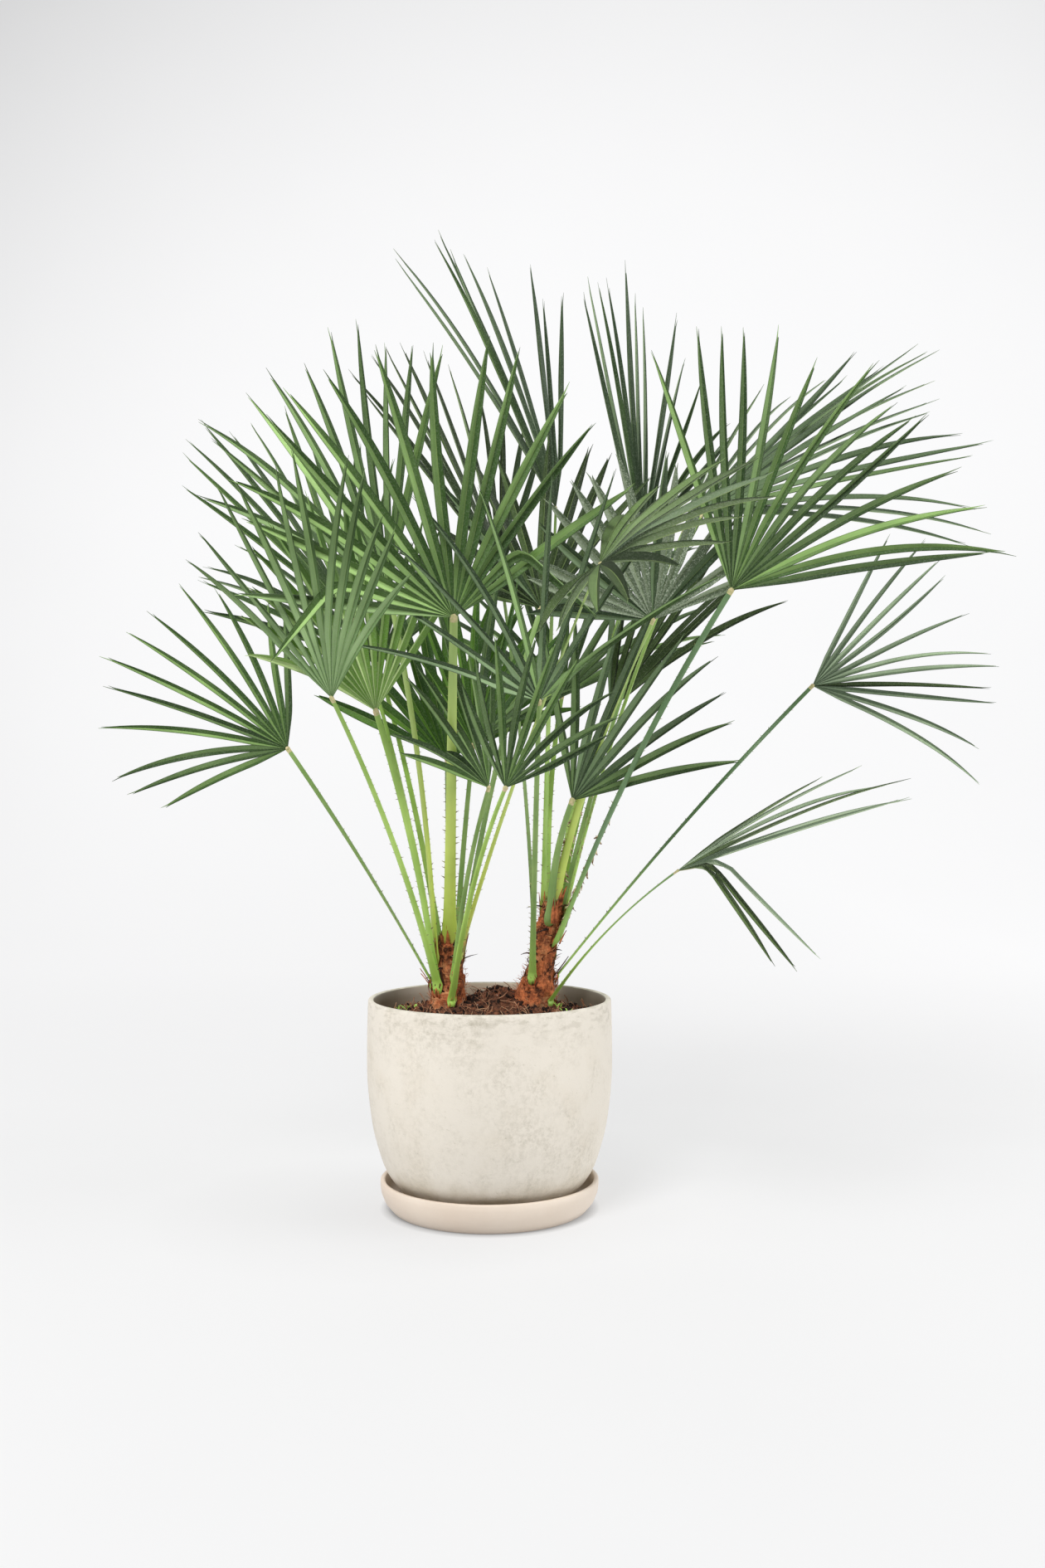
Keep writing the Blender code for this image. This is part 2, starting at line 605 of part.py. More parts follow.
def leaflet_body(frond, leaflet, rows, pad):
    """The free part of one leaflet beyond its root, a little swollen."""
    corners, tip = fan_rows(frond, leaflet, rows, pad)
    half = frond.wide / 2
    root = leaflet.hub + leaflet.go * (leaflet.join + ROOT_STEP)
    t = frond.thick / 2 + pad
    edge = leaflet.face * PLEAT * half
    verts = [root - leaflet.side * half * ROOT_WIDE + edge, root + leaflet.face * t,
             root + leaflet.side * half * ROOT_WIDE + edge, root - leaflet.face * t]
    for row in corners:
        verts += list(row)
    verts.append(tip)
    end = len(corners) * 4
    faces = [(j + a, j + b, j + 4 + b, j + 4 + a)
             for j in range(0, end, 4) for a, b in ((0, 1), (1, 2), (2, 3), (3, 0))]
    faces += [(end + a, end + b, end + 4) for a, b in ((0, 1), (1, 2), (2, 3), (3, 0))]
    return verts, faces


def root_body(frond, leaflet, lines, rows, pad):
    """The root of one leaflet, from the joined middle to its first row."""
    ridge = PLEAT * frond.join * math.tan(math.radians(frond.spread) / frond.count / 2)
    verts = []
    for go, face in lines:
        p = frond.hub + go * frond.join + face * ridge
        t = frond.thick * THIN_JOIN / 2 + pad
        verts += [p + face * t, p - face * t]
    p = frond.hub + leaflet.go * frond.join
    t = frond.thick / 2 + pad
    verts += [p + leaflet.face * t, p - leaflet.face * t]
    verts += list(fan_rows(frond, leaflet, rows, pad)[0][0])
    faces = [(0, 4, 7, 6), (4, 2, 8, 7), (1, 6, 9, 5), (5, 9, 8, 3), (0, 6, 1), (2, 3, 8)]
    return verts, faces


def palm_body(frond, leaflets, rows):
    """The joined middle of a blade with stubs for leaflets, for testing."""
    for one in leaflets:
        one.cut = max(STUB_SHARE, frond.join * STUB_REACH / one.length)
    frond.thick += 2 * ROOM
    verts, faces = fan_mesh(frond, leaflets, rows)
    frond.thick -= 2 * ROOM
    return verts, faces


def lay_palm(frond, grown):
    """Turn the joined middle of a blade until it is clear of all others."""
    around = grown.around()
    for lean in LEANS:
        start = (frond.face.copy(), frond.across.copy())
        frond.lean(math.radians(lean))
        rng = random.Random(frond.seed)
        frond.leaflets = [Leaflet(frond, k, rng) for k in range(frond.count)]
        body = palm_body(frond, frond.leaflets, ROWS)
        if not tree(*body).overlap(around):
            return body
        frond.face, frond.across = start
    raise ValueError("no room for the fan of " + frond.name)


def grow_leaflets(frond, around):
    """Let each leaflet out as far as it goes without meeting anything."""
    placed = None
    lines = join_points(frond, frond.leaflets)
    for k, one in enumerate(frond.leaflets):
        stub = one.cut
        found = False
        for cut in CUTS:
            if found or one.length * cut < frond.join * STUB_REACH:
                break
            for yaw, lift in NUDGES:
                one.cut, one.yaw, one.lift = cut, yaw, lift
                body = tree(*leaflet_body(frond, one, ROWS, ROOM))
                if body.overlap(around) or (placed and body.overlap(placed)):
                    continue
                root = tree(*root_body(frond, one, lines[k:k + 2], ROWS, ROOM))
                if not root.overlap(around):
                    found = True
                    break
        if not found:
            one.cut, one.yaw, one.lift = stub, 0.0, 0.0
        placed = tree(*leaflet_body(frond, one, ROWS, 0.0))


def main():
    clear_scene()
    make_saucer()
    make_pot()
    grown = Grown()
    walls = [(0, POT_FOOT_Z)] + pot_walls()[0] + pot_walls()[1] + [(0, POT_FLOOR)]
    grown.parts["pot"] = turn(walls, ROUND_SIDES)
    grown.parts["soil"] = turn(soil_shape(), ROUND_SIDES)
    add_object("soil", "soil", *grown.parts["soil"])
    trunks = {}
    for side in TRUNKS:
        verts, faces = trunk_shape(side)
        add_object("trunk_" + side, "trunk", verts, faces)
        trunks[side] = (verts, faces, tree(verts, faces))
    fronds = [Frond(k, row) for k, row in enumerate(FRONDS)]
    for frond in fronds:
        grown.parts["stalk_" + frond.name] = grow_stalk(frond, trunks, grown)
        add_object("stalk_" + frond.name, "stalk", *grown.parts["stalk_" + frond.name])
    for side, (verts, faces, _) in trunks.items():
        grown.parts["trunk_" + side] = (verts, faces)
    for frond in fronds:
        grown.parts["fan_" + frond.name] = lay_palm(frond, grown)
    for frond in fronds:
        grow_leaflets(frond, grown.around("fan_" + frond.name))
        grown.parts["fan_" + frond.name] = fan_mesh(frond, frond.leaflets, ROWS)
        add_object("fan_" + frond.name, "fan", *grown.parts["fan_" + frond.name])


main()
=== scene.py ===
"""Potted European fan palm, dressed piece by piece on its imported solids."""
import math
import random

import bpy
from mathutils import Matrix, Vector, noise
from mathutils.bvhtree import BVHTree


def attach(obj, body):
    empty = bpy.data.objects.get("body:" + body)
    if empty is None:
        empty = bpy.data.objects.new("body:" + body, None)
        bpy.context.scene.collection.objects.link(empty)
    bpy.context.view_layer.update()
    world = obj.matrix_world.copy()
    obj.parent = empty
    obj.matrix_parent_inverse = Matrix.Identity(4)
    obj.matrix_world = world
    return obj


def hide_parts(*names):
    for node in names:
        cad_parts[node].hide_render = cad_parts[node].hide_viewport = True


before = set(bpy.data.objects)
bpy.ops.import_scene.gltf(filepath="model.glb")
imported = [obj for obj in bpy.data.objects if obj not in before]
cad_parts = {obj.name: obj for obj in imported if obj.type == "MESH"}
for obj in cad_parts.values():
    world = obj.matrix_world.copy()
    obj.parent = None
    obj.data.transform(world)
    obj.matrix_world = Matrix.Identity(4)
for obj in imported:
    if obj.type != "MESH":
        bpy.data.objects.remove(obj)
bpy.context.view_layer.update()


# Saucer: a shallow dish of fired beige-pink clay with a rolled rim. It is turned
# in one piece and stands on a flat foot, and the pot only rests in it.
SAUCER_PROFILE = [(0, 0), (0.110, 0), (0.112, 0.0012), (0.1195, 0.0100), (0.1236, 0.0200),
                  (0.1247, 0.0270), (0.1247, 0.0333), (0.1236, 0.0345), (0.1204, 0.0345),
                  (0.1193, 0.0333), (0.1184, 0.0220), (0.1140, 0.0125), (0.1060, 0.0087),
                  (0, 0.0087)]
CLAY_PINK = (0.735, 0.615, 0.505, 1)
CLAY_PALE = (0.805, 0.705, 0.60, 1)
TURNED_SIDES = 128


class Wire:
    """A node's socket that takes part in sums and makes the nodes it needs."""

    def __init__(self, net, socket=None):
        self.net, self.socket = net, socket

    def node(self, kind, settings=(), sockets=(), out=0):
        made = self.net.nodes.new(kind)
        for name, value in dict(settings).items():
            if name == "stops":
                elements = made.color_ramp.elements
                while len(elements) < len(value):
                    elements.new(1.0)
                for element, (place, colour) in zip(elements, value):
                    element.position = place
                    element.color = colour
            else:
                setattr(made, name, value)
        for name, value in dict(sockets).items():
            if isinstance(value, Wire):
                self.net.links.new(value.socket, made.inputs[name])
            else:
                made.inputs[name].default_value = value
        return Wire(self.net, made.outputs[out])

    def maths(self, operation, one, two=0.0):
        return self.node("ShaderNodeMath", {"operation": operation}, {0: one, 1: two})

    def __add__(self, other):
        return self.maths("ADD", self, other)

    def __sub__(self, other):
        return self.maths("SUBTRACT", self, other)

    def __rsub__(self, other):
        return self.maths("SUBTRACT", other, self)

    def __mul__(self, other):
        return self.maths("MULTIPLY", self, other)

    __radd__ = __add__
    __rmul__ = __mul__

    def window(self, low, high):
        """0 below low, 1 above high and a slope between."""
        return self.node("ShaderNodeMapRange", {}, {0: self, 1: low, 2: high})

    def tint(self, one, two):
        """Colour one where this is 0, colour two where it is 1."""
        return self.node("ShaderNodeMix", {"data_type": "RGBA"}, {0: self, 6: one, 7: two}, 2)

    def grain(self, scale, detail=4.0, rough=0.55, stretch=None):
        """Noise over this place, finer along the axes that are stretched."""
        place = self
        if stretch:
            place = self.node("ShaderNodeMapping", {}, {"Vector": self, "Scale": stretch})
        return self.node("ShaderNodeTexNoise", {}, {"Vector": place, "Scale": scale,
                                                    "Detail": detail, "Roughness": rough})

    def relief(self, depth, strength=1.0):
        """A bump of this height, depth in metres."""
        return self.node("ShaderNodeBump", {}, {"Height": self, "Distance": depth,
                                                "Strength": strength})


def start_material(name, **constants):
    """A material, the wire of the surface's own place, and its shader."""
    made = bpy.data.materials.new(name)
    made.use_nodes = True
    shader = made.node_tree.nodes["Principled BSDF"]
    for socket, value in constants.items():
        shader.inputs[socket.replace("_", " ")].default_value = value
    place = Wire(made.node_tree).node("ShaderNodeTexCoord", out=3)
    return made, place, shader


def feed(shader, **wires):
    for socket, wire in wires.items():
        wire.net.links.new(wire.socket, shader.inputs[socket.replace("_", " ")])


class Shape:
    """Corners, faces, material numbers and flat places of one piece in the making."""

    def __init__(self):
        self.verts, self.faces, self.kinds, self.flats = [], [], [], []

    def put(self, points, flats=None):
        self.verts.extend(points)
        self.flats.extend(flats or [(0.0, 0.0)] * len(points))
        return list(range(len(self.verts) - len(points), len(self.verts)))

    def face(self, corners, kind=0):
        self.faces.append(tuple(corners))
        self.kinds.append(kind)

    def piece(self, name, materials, smooth=True):
        """The finished mesh object, riding on the plant's one body."""
        mesh = bpy.data.meshes.new(name)
        mesh.from_pydata([tuple(v) for v in self.verts], [], self.faces)
        for material in materials:
            mesh.materials.append(material)
        mesh.polygons.foreach_set("material_index", self.kinds)
        mesh.polygons.foreach_set("use_smooth", [smooth] * len(self.faces))
        laid = mesh.uv_layers.new(name="laid")
        corners = [0] * len(mesh.loops)
        mesh.loops.foreach_get("vertex_index", corners)
        laid.data.foreach_set("uv", [c for v in corners for c in self.flats[v]])
        mesh.update()
        made = bpy.data.objects.new(name, mesh)
        bpy.context.scene.collection.objects.link(made)
        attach(made, "root")
        return made


def turned(profile, bands=(), sides=TURNED_SIDES):
    """A shape turned about Z. bands names the profile steps of the second material."""
    shape = Shape()
    low = shape.put([Vector((0, 0, profile[0][1]))])[0]
    rings = []
    for r, z in profile[1:-1]:
        rings.append(shape.put([Vector((r * math.cos(a), r * math.sin(a), z)) for a in
                                (2 * math.pi * k / sides for k in range(sides))]))
    top = shape.put([Vector((0, 0, profile[-1][1]))])[0]
    for k in range(sides):
        n = (k + 1) % sides
        shape.face((low, rings[0][n], rings[0][k]))
        for j, (one, two) in enumerate(zip(rings, rings[1:])):
            shape.face((one[k], one[n], two[n], two[k]), 1 if j in bands else 0)
        shape.face((rings[-1][k], rings[-1][n], top), 1 if bands else 0)
    return shape


def rounded(profile, parts):
    """The profile with each step cut into parts along a smooth curve."""
    fine = []
    for k in range(len(profile) - 1):
        p = [profile[max(0, k - 1)], profile[k], profile[k + 1],
             profile[min(len(profile) - 1, k + 2)]]
        for j in range(parts):
            t = j / parts
            fine.append(tuple(0.5 * (2 * p[1][i] + (p[2][i] - p[0][i]) * t
                                     + (2 * p[0][i] - 5 * p[1][i] + 4 * p[2][i] - p[3][i]) * t * t
                                     + (3 * p[1][i] - p[0][i] - 3 * p[2][i] + p[3][i]) * t ** 3)
                              for i in (0, 1)))
    return fine + [profile[-1]]


clay, place, shader = start_material("fired clay", Specular_IOR_Level=0.4)
cloud = place.grain(9, 5)
grit = place.grain(420, 3)
feed(shader, Base_Color=(cloud.window(0.35, 0.65) * 0.8 + grit * 0.2).tint(CLAY_PINK, CLAY_PALE),
     Roughness=cloud * 0.16 + 0.42, Normal=(grit + cloud * 0.5).relief(0.00012, 0.5))
saucer = turned(SAUCER_PROFILE).piece("dish", [clay])
saucer.data.set_sharp_from_angle(angle=math.radians(60))
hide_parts("saucer")


# Pot: a round-bellied stoneware pot, cream outside with grey-green mottling and
# fine pits from the kiln, and washed with a smooth taupe slip on its inner wall.
POT_OUTSIDE = [(0.088, 0.009), (0.100, 0.0210), (0.113, 0.0375), (0.1205, 0.051),
               (0.127, 0.070), (0.134, 0.0985), (0.1395, 0.146), (0.140, 0.194),
               (0.139, 0.237)]
POT_LIP = [(0.1386, 0.2384), (0.1374, 0.2392), (0.1358, 0.2395), (0.1343, 0.2392),
           (0.1331, 0.2384)]
POT_INSIDE = [(0.1325, 0.237), (0.1325, 0.194), (0.1318, 0.146), (0.1262, 0.0985),
              (0.113, 0.056), (0.095, 0.028), (0.080, 0.019)]
GLAZE_CREAM = (0.79, 0.735, 0.645, 1)
GLAZE_GREY = (0.53, 0.485, 0.395, 1)
GLAZE_WARM = (0.72, 0.65, 0.54, 1)
GLAZE_FOOT = (0.47, 0.385, 0.255, 1)
SLIP_TAUPE = (0.74, 0.60, 0.47, 1)
SLIP_PALE = (0.88, 0.74, 0.60, 1)
SLIP_PAINTED_SHADE = (0.24, 0.20, 0.15, 1)

glaze, place, shader = start_material("mottled stoneware", Specular_IOR_Level=0.35)
drift = place.grain(9, 3, 0.5)
cluster = place.grain(34, 4, 0.6)
spots = place.grain(170, 5, 0.75)
fine = place.grain(420, 3, 0.6)
pits = place.node("ShaderNodeTexVoronoi", {"feature": "F1"}, {"Vector": place, "Scale": 260.0})
mottle = (drift + cluster).window(0.86, 1.22) * spots.window(0.42, 0.64)
bloom = place.grain(16, 4).window(0.52, 0.74) * 0.5
rise = place.node("ShaderNodeSeparateXYZ", {}, {0: place}, 2)
foot = (1 - rise.window(0.020, 0.062)) * cluster.window(0.30, 0.60) * 0.8
rim = rise.window(0.200, 0.232) * place.grain(60, 4, 0.6, (1, 1, 2.5)).window(0.50, 0.62) * 0.5
pitted = (1 - pits.window(0.10, 0.32)) * spots.window(0.50, 0.62)
cream = foot.tint(bloom.tint(GLAZE_CREAM, GLAZE_WARM), GLAZE_FOOT)
feed(shader, Base_Color=(mottle * 0.55 + pitted * 0.15 + rim).tint(cream, GLAZE_GREY),
     Roughness=fine * 0.2 + 0.55,
     Normal=(fine * 0.5 + spots * 0.5 - pitted * 0.8).relief(0.0007, 0.55))
slip, place, shader = start_material("taupe slip", Specular_IOR_Level=0.5)
wash = place.grain(22, 4, 0.55, (1, 1, 0.25))
aside = place.node("ShaderNodeSeparateXYZ", {}, {0: place})
# Painted shade: the slip is darkened toward the left and right of the inner wall, where the pot's
# own wall shades it.
painted_side_shade = (aside.node("ShaderNodeMath", {"operation": "ABSOLUTE"}, {0: aside}) + wash * 0.03)
feed(shader, Base_Color=painted_side_shade.window(0.060, 0.125).tint(wash.window(0.3, 0.7)
                                                       .tint(SLIP_TAUPE, SLIP_PALE), SLIP_PAINTED_SHADE),
     Roughness=wash * 0.2 + 0.32, Normal=place.grain(150, 3).relief(0.0002, 0.4))
outside = rounded(POT_OUTSIDE, 4)
inside = rounded(POT_INSIDE, 3)
wall = [(0, 0.009)] + outside + POT_LIP + inside + [(0, 0.019)]
first_inside = len(outside) + len(POT_LIP) - 1
pot = turned(wall, range(first_inside, len(wall))).piece("vessel", [glaze, slip])
pot.data.set_sharp_from_angle(angle=math.radians(60))
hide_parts("pot")


# Soil: dark potting mix, heaped a little round the trunks. It is loose, with
# crumbs, bark chips, threads of coir and a few white grains lying on top of it.
SOIL_TOP = 0.222
SOIL_EDGE = 0.217
SOIL_FLAT_R = 0.090
SOIL_R = 0.1322
SOIL_RINGS = 46
SOIL_SPOKES = 150
SOIL_BED = 0.170
SOIL_HEAPS = ((-0.048, 0.030, 0.006, 0.0016), (0.050, 0.028, 0.007, 0.0018),
              (0.008, 0.040, 0.021, 0.0011))
PEAT_BLACK = (0.016, 0.010, 0.008, 1)
PEAT_DARK = (0.050, 0.024, 0.016, 1)
PEAT_RED = (0.30, 0.115, 0.060, 1)
PEAT_PALE = (0.62, 0.36, 0.21, 1)


def soil_height(x, y):
    """The heaped and crumbly top of the soil."""
    r = math.hypot(x, y)
    if r < SOIL_FLAT_R:
        base = SOIL_TOP
    else:
        base = SOIL_TOP - (SOIL_TOP - SOIL_EDGE) * (r - SOIL_FLAT_R) / (SOIL_R - SOIL_FLAT_R)
    heap = sum(high * math.exp(-((x - cx) ** 2 + (y - cy) ** 2) / wide)
               for cx, cy, high, wide in SOIL_HEAPS)
    lumps = 0.0044 * noise.noise(Vector((x * 70, y * 70, 0)))
    lumps += 0.0026 * noise.noise(Vector((x * 190, y * 190, 7)))
    return base + heap + lumps - 0.0012


soil = Shape()
rings = [soil.put([Vector((0, 0, soil_height(0, 0)))])]
for j in range(1, SOIL_RINGS + 1):
    r = SOIL_R * (j / SOIL_RINGS) ** 0.85
    ring = []
    for k in range(SOIL_SPOKES):
        a = 2 * math.pi * k / SOIL_SPOKES
        x, y = r * math.cos(a), r * math.sin(a)
        ring.append(Vector((x, y, soil_height(x, y))))
    rings.append(soil.put(ring))
rings.append(soil.put([Vector((SOIL_R * math.cos(2 * math.pi * k / SOIL_SPOKES),
                               SOIL_R * math.sin(2 * math.pi * k / SOIL_SPOKES), SOIL_BED))
                       for k in range(SOIL_SPOKES)]))
foot = soil.put([Vector((0, 0, SOIL_BED))])[0]
for k in range(SOIL_SPOKES):
    n = (k + 1) % SOIL_SPOKES
    soil.face((rings[0][0], rings[1][k], rings[1][n]))
    for one, two in zip(rings[1:], rings[2:]):
        soil.face((one[k], two[k], two[n], one[n]))
    soil.face((rings[-1][k], foot, rings[-1][n]))
peat, place, shader = start_material("potting mix", Specular_IOR_Level=0.2)
crumb = place.grain(190, 6, 0.7)
patch = place.grain(45, 3)
feed(shader, Base_Color=(crumb.window(0.42, 0.66) * 0.7 + patch.window(0.4, 0.7) * 0.3)
     .tint(PEAT_DARK, PEAT_RED), Roughness=crumb * 0.1 + 0.86,
     Normal=crumb.relief(0.0025, 0.9))
bed = soil.piece("soil_bed", [peat])
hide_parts("soil")


def new_net(name, inputs):
    """An empty tree of geometry nodes with named inputs; gives its first wires."""
    net = bpy.data.node_groups.new(name, "GeometryNodeTree")
    net.interface.new_socket("Ground", in_out="INPUT", socket_type="NodeSocketGeometry")
    for label, kind in inputs:
        net.interface.new_socket(label, in_out="INPUT", socket_type="NodeSocket" + kind)
    net.interface.new_socket("Grown", in_out="OUTPUT", socket_type="NodeSocketGeometry")
    source = net.nodes.new("NodeGroupInput")
    wires = [Wire(net, socket) for socket in source.outputs[:-1]]
    return net, wires


def end_net(net, instances, material):
    """Realize the instances, give them their material and close the tree."""
    grown = instances.node("GeometryNodeRealizeInstances", {}, {0: instances})
    dressed = grown.node("GeometryNodeSetMaterial", {}, {"Geometry": grown,
                                                         "Material": material})
    last = net.nodes.new("NodeGroupOutput")
    net.links.new(dressed.socket, last.inputs[0])


def grow(name, ground, net, **values):
    """Run the tree on a copy of the ground mesh and keep its result as a piece."""
    holder = bpy.data.objects.new(name, ground)
    bpy.context.scene.collection.objects.link(holder)
    maker = holder.modifiers.new("maker", "NODES")
    maker.node_group = net
    for item in net.interface.items_tree:
        if item.in_out == "INPUT" and item.name in values:
            maker[item.identifier] = values[item.name]
    ready = holder.evaluated_get(bpy.context.evaluated_depsgraph_get())
    mesh = bpy.data.meshes.new_from_object(ready)
    mesh.name = name
    holder.modifiers.clear()
    holder.data = mesh
    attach(holder, "root")
    return holder


def random_value(wire, kind, low, high, seed):
    """A seeded random number or vector for each point."""
    first = 0 if kind == "FLOAT_VECTOR" else 2
    return wire.node("FunctionNodeRandomValue", {"data_type": kind},
                     {first: low, first + 1: high, "Seed": seed},
                     0 if kind == "FLOAT_VECTOR" else 1)


def crumb_net(name, material):
    """Rough grains of random size strewn over the ground."""
    net, (ground, density, small, large, seed) = new_net(name, (
        ("Density", "Float"), ("Smallest", "Vector"), ("Largest", "Vector"), ("Seed", "Int")))
    strewn = ground.node("GeometryNodeDistributePointsOnFaces", {},
                         {"Mesh": ground, "Density": density, "Seed": seed})
    grain = ground.node("GeometryNodeMeshIcoSphere", {}, {"Radius": 1.0, "Subdivisions": 1})
    turn = random_value(ground, "FLOAT_VECTOR", (0, 0, 0), (6.28, 6.28, 6.28), 3)
    size = random_value(ground, "FLOAT_VECTOR", small, large, 5)
    placed = ground.node("GeometryNodeInstanceOnPoints", {},
                         {"Points": strewn, "Instance": grain, "Rotation": turn, "Scale": size})
    end_net(net, placed, material)
    return net


def thread_net(name, material):
    """Thin bent threads that lie or stand on the ground, tapering to their ends."""
    net, (ground, density, length, width, lift, stray, seed) = new_net(name, (
        ("Density", "Float"), ("Length", "Float"), ("Width", "Float"), ("Lift", "Vector"),
        ("Stray", "Float"), ("Seed", "Int")))
    strewn = ground.node("GeometryNodeDistributePointsOnFaces", {},
                         {"Mesh": ground, "Density": density, "Seed": seed})
    outward = Wire(net, strewn.socket.node.outputs["Normal"])
    bow = ground.node("GeometryNodeCurveQuadraticBezier", {},
                      {"Resolution": 4, "Start": (0, 0, 0), "Middle": (0.22, 0.0, 0.45),
                       "End": (0.05, 0.12, 1.0)})
    along = ground.node("GeometryNodeSplineParameter")
    slim = ground.node("GeometryNodeSetCurveRadius", {}, {"Curve": bow,
                                                          "Radius": 1.0 - along * 0.85})
    rim = ground.node("GeometryNodeCurvePrimitiveCircle", {}, {"Resolution": 3,
                                                               "Radius": width})
    strand = ground.node("GeometryNodeCurveToMesh", {}, {"Curve": slim, "Profile Curve": rim,
                                                         "Fill Caps": True})
    astray = random_value(ground, "FLOAT_VECTOR", (-1, -1, -1), (1, 1, 1), 11)
    spread = ground.node("ShaderNodeVectorMath", {"operation": "SCALE"},
                         {0: astray, "Scale": stray})
    aim = ground.node("ShaderNodeVectorMath", {"operation": "MULTIPLY_ADD"},
                      {0: outward, 1: (0.5, 0.5, 0.5), 2: spread})
    aim = ground.node("ShaderNodeVectorMath", {"operation": "ADD"}, {0: aim, 1: lift})
    turn = ground.node("FunctionNodeAlignRotationToVector", {"axis": "Z"}, {"Vector": aim})
    size = random_value(ground, "FLOAT", 0.45, 1.3, 17) * length
    placed = ground.node("GeometryNodeInstanceOnPoints", {},
                         {"Points": strewn, "Instance": strand, "Rotation": turn,
                          "Scale": size})
    end_net(net, placed, material)
    return net


clod, place, shader = start_material("dark clod", Specular_IOR_Level=0.2)
shade = place.grain(120, 3)
feed(shader, Base_Color=shade.window(0.44, 0.66).tint(PEAT_BLACK, PEAT_DARK),
     Roughness=shade * 0.2 + 0.75, Normal=place.grain(700, 3).relief(0.0008, 0.8))
chip, place, shader = start_material("bark crumb", Specular_IOR_Level=0.25)
shade = place.grain(55, 2)
feed(shader, Base_Color=shade.window(0.36, 0.62).tint(PEAT_DARK, PEAT_RED),
     Roughness=shade * 0.2 + 0.75, Normal=place.grain(900, 3).relief(0.0006, 0.8))
coir, place, shader = start_material("coir thread", Specular_IOR_Level=0.25)
shade = place.grain(70, 2)
feed(shader, Base_Color=shade.window(0.36, 0.64).tint(PEAT_RED, PEAT_PALE),
     Roughness=shade * 0.15 + 0.75, Normal=place.grain(600, 2).relief(0.0003, 0.5))
white, place, shader = start_material("white grain", Specular_IOR_Level=0.3)
shade = place.grain(500, 3)
feed(shader, Base_Color=shade.tint((0.62, 0.58, 0.50, 1), (0.88, 0.86, 0.82, 1)),
     Roughness=shade * 0.2 + 0.7, Normal=shade.relief(0.0004, 0.6))

top = bpy.data.meshes.new("soil_top")
across = [v for v in soil.verts if v.z > SOIL_BED + 0.01]
cells = [f for f in soil.faces if all(soil.verts[i].z > SOIL_BED + 0.01 for i in f)
         and math.hypot(soil.verts[f[0]].x, soil.verts[f[0]].y) < SOIL_R * 0.965]
top.from_pydata([tuple(v) for v in across], [], cells)
crumbs = grow("soil_crumbs", top, crumb_net("crumbs", chip), Density=38000.0,
              Smallest=(0.0007, 0.0005, 0.0004), Largest=(0.0046, 0.0026, 0.0014), Seed=4)
clods = grow("soil_clods", top, crumb_net("clods", clod), Density=10500.0,
             Smallest=(0.0018, 0.0014, 0.0010), Largest=(0.0066, 0.0040, 0.0030), Seed=14)
grains = grow("soil_white_grains", top, crumb_net("white_grains", white), Density=900.0,
              Smallest=(0.0005, 0.0005, 0.0004), Largest=(0.0017, 0.0015, 0.0012), Seed=9)
threads = grow("soil_coir", top, thread_net("coir", coir), Density=11000.0, Length=0.012,
               Width=0.034, Lift=(0.0, 0.0, -0.32), Stray=1.1, Seed=6)


# Trunks: two short stems on the soil, clad in red-brown fibre and in the stumps of
# old leaf bases. Each grew in place, widest at its foot and ragged up to its tip.
TRUNKS = {
    "left": ((-0.050, 0.030), (-0.047, 0.033), 0.074,
             ((0.0, 0.0245), (0.16, 0.0215), (0.42, 0.0185), (0.72, 0.0170), (1.0, 0.0140))),
    "right": ((0.048, 0.028), (0.073, 0.034), 0.122,
              ((0.0, 0.0270), (0.18, 0.0255), (0.40, 0.0195), (0.70, 0.0165), (1.0, 0.0120))),
}
TRUNK_SIDES = 11
TRUNK_ROUGH = 0.05
TRUNK_TWIST = 0.35
SEAT = 0.00035
BARK_SPOKES = 72
BARK_RINGS = 64
BARK_STUMPS = {"left": 11, "right": 17}
BARK_WAIST = {"left": 0.06, "right": 0.26}
FIBRE_DARK = (0.140, 0.036, 0.018, 1)
FIBRE_RED = (0.84, 0.265, 0.100, 1)
FIBRE_TAN = (0.68, 0.40, 0.200, 1)
FLAKE_DARK = (0.020, 0.011, 0.009, 1)


def triangles(faces):
    """Every face as a fan of triangles, the same way wherever it is used."""
    return [(f[0], f[k], f[k + 1]) for f in faces for k in range(1, len(f) - 1)]


def trunk_shape(side):
    """Tapering ragged tube with flat ends, leaning from foot to top."""
    foot, head, height, steps = TRUNKS[side]
    rng = random.Random(31 if side == "left" else 47)
    verts, faces = [], []
    for share, radius in steps:
        cx = foot[0] + (head[0] - foot[0]) * share
        cy = foot[1] + (head[1] - foot[1]) * share
        for k in range(TRUNK_SIDES):
            a = 2 * math.pi * (k + TRUNK_TWIST * share) / TRUNK_SIDES
            r = radius * (1 + TRUNK_ROUGH * rng.uniform(-1, 1))
            verts.append(Vector((cx + r * math.cos(a), cy + r * math.sin(a),
                                 SOIL_TOP + SEAT + height * share)))
    n = TRUNK_SIDES
    for j in range(len(steps) - 1):
        for k in range(n):
            m = (k + 1) % n
            faces.append((j * n + k, j * n + m, (j + 1) * n + m, (j + 1) * n + k))
    faces.append(tuple(range(n)))
    faces.append(tuple((len(steps) - 1) * n + k for k in range(n)))
    return verts, faces


def trunk_at(side, rise):
    """Centre and radius of a trunk at a height over the soil."""
    foot, head, height, steps = TRUNKS[side]
    share = min(1.0, rise / height)
    low, high = steps[0], steps[-1]
    for one, two in zip(steps, steps[1:]):
        if one[0] <= share <= two[0]:
            low, high = one, two
    t = (share - low[0]) / max(1e-6, high[0] - low[0])
    centre = Vector((foot[0] + (head[0] - foot[0]) * share,
                     foot[1] + (head[1] - foot[1]) * share, SOIL_TOP + SEAT + height * share))
    return centre, low[1] + (high[1] - low[1]) * t


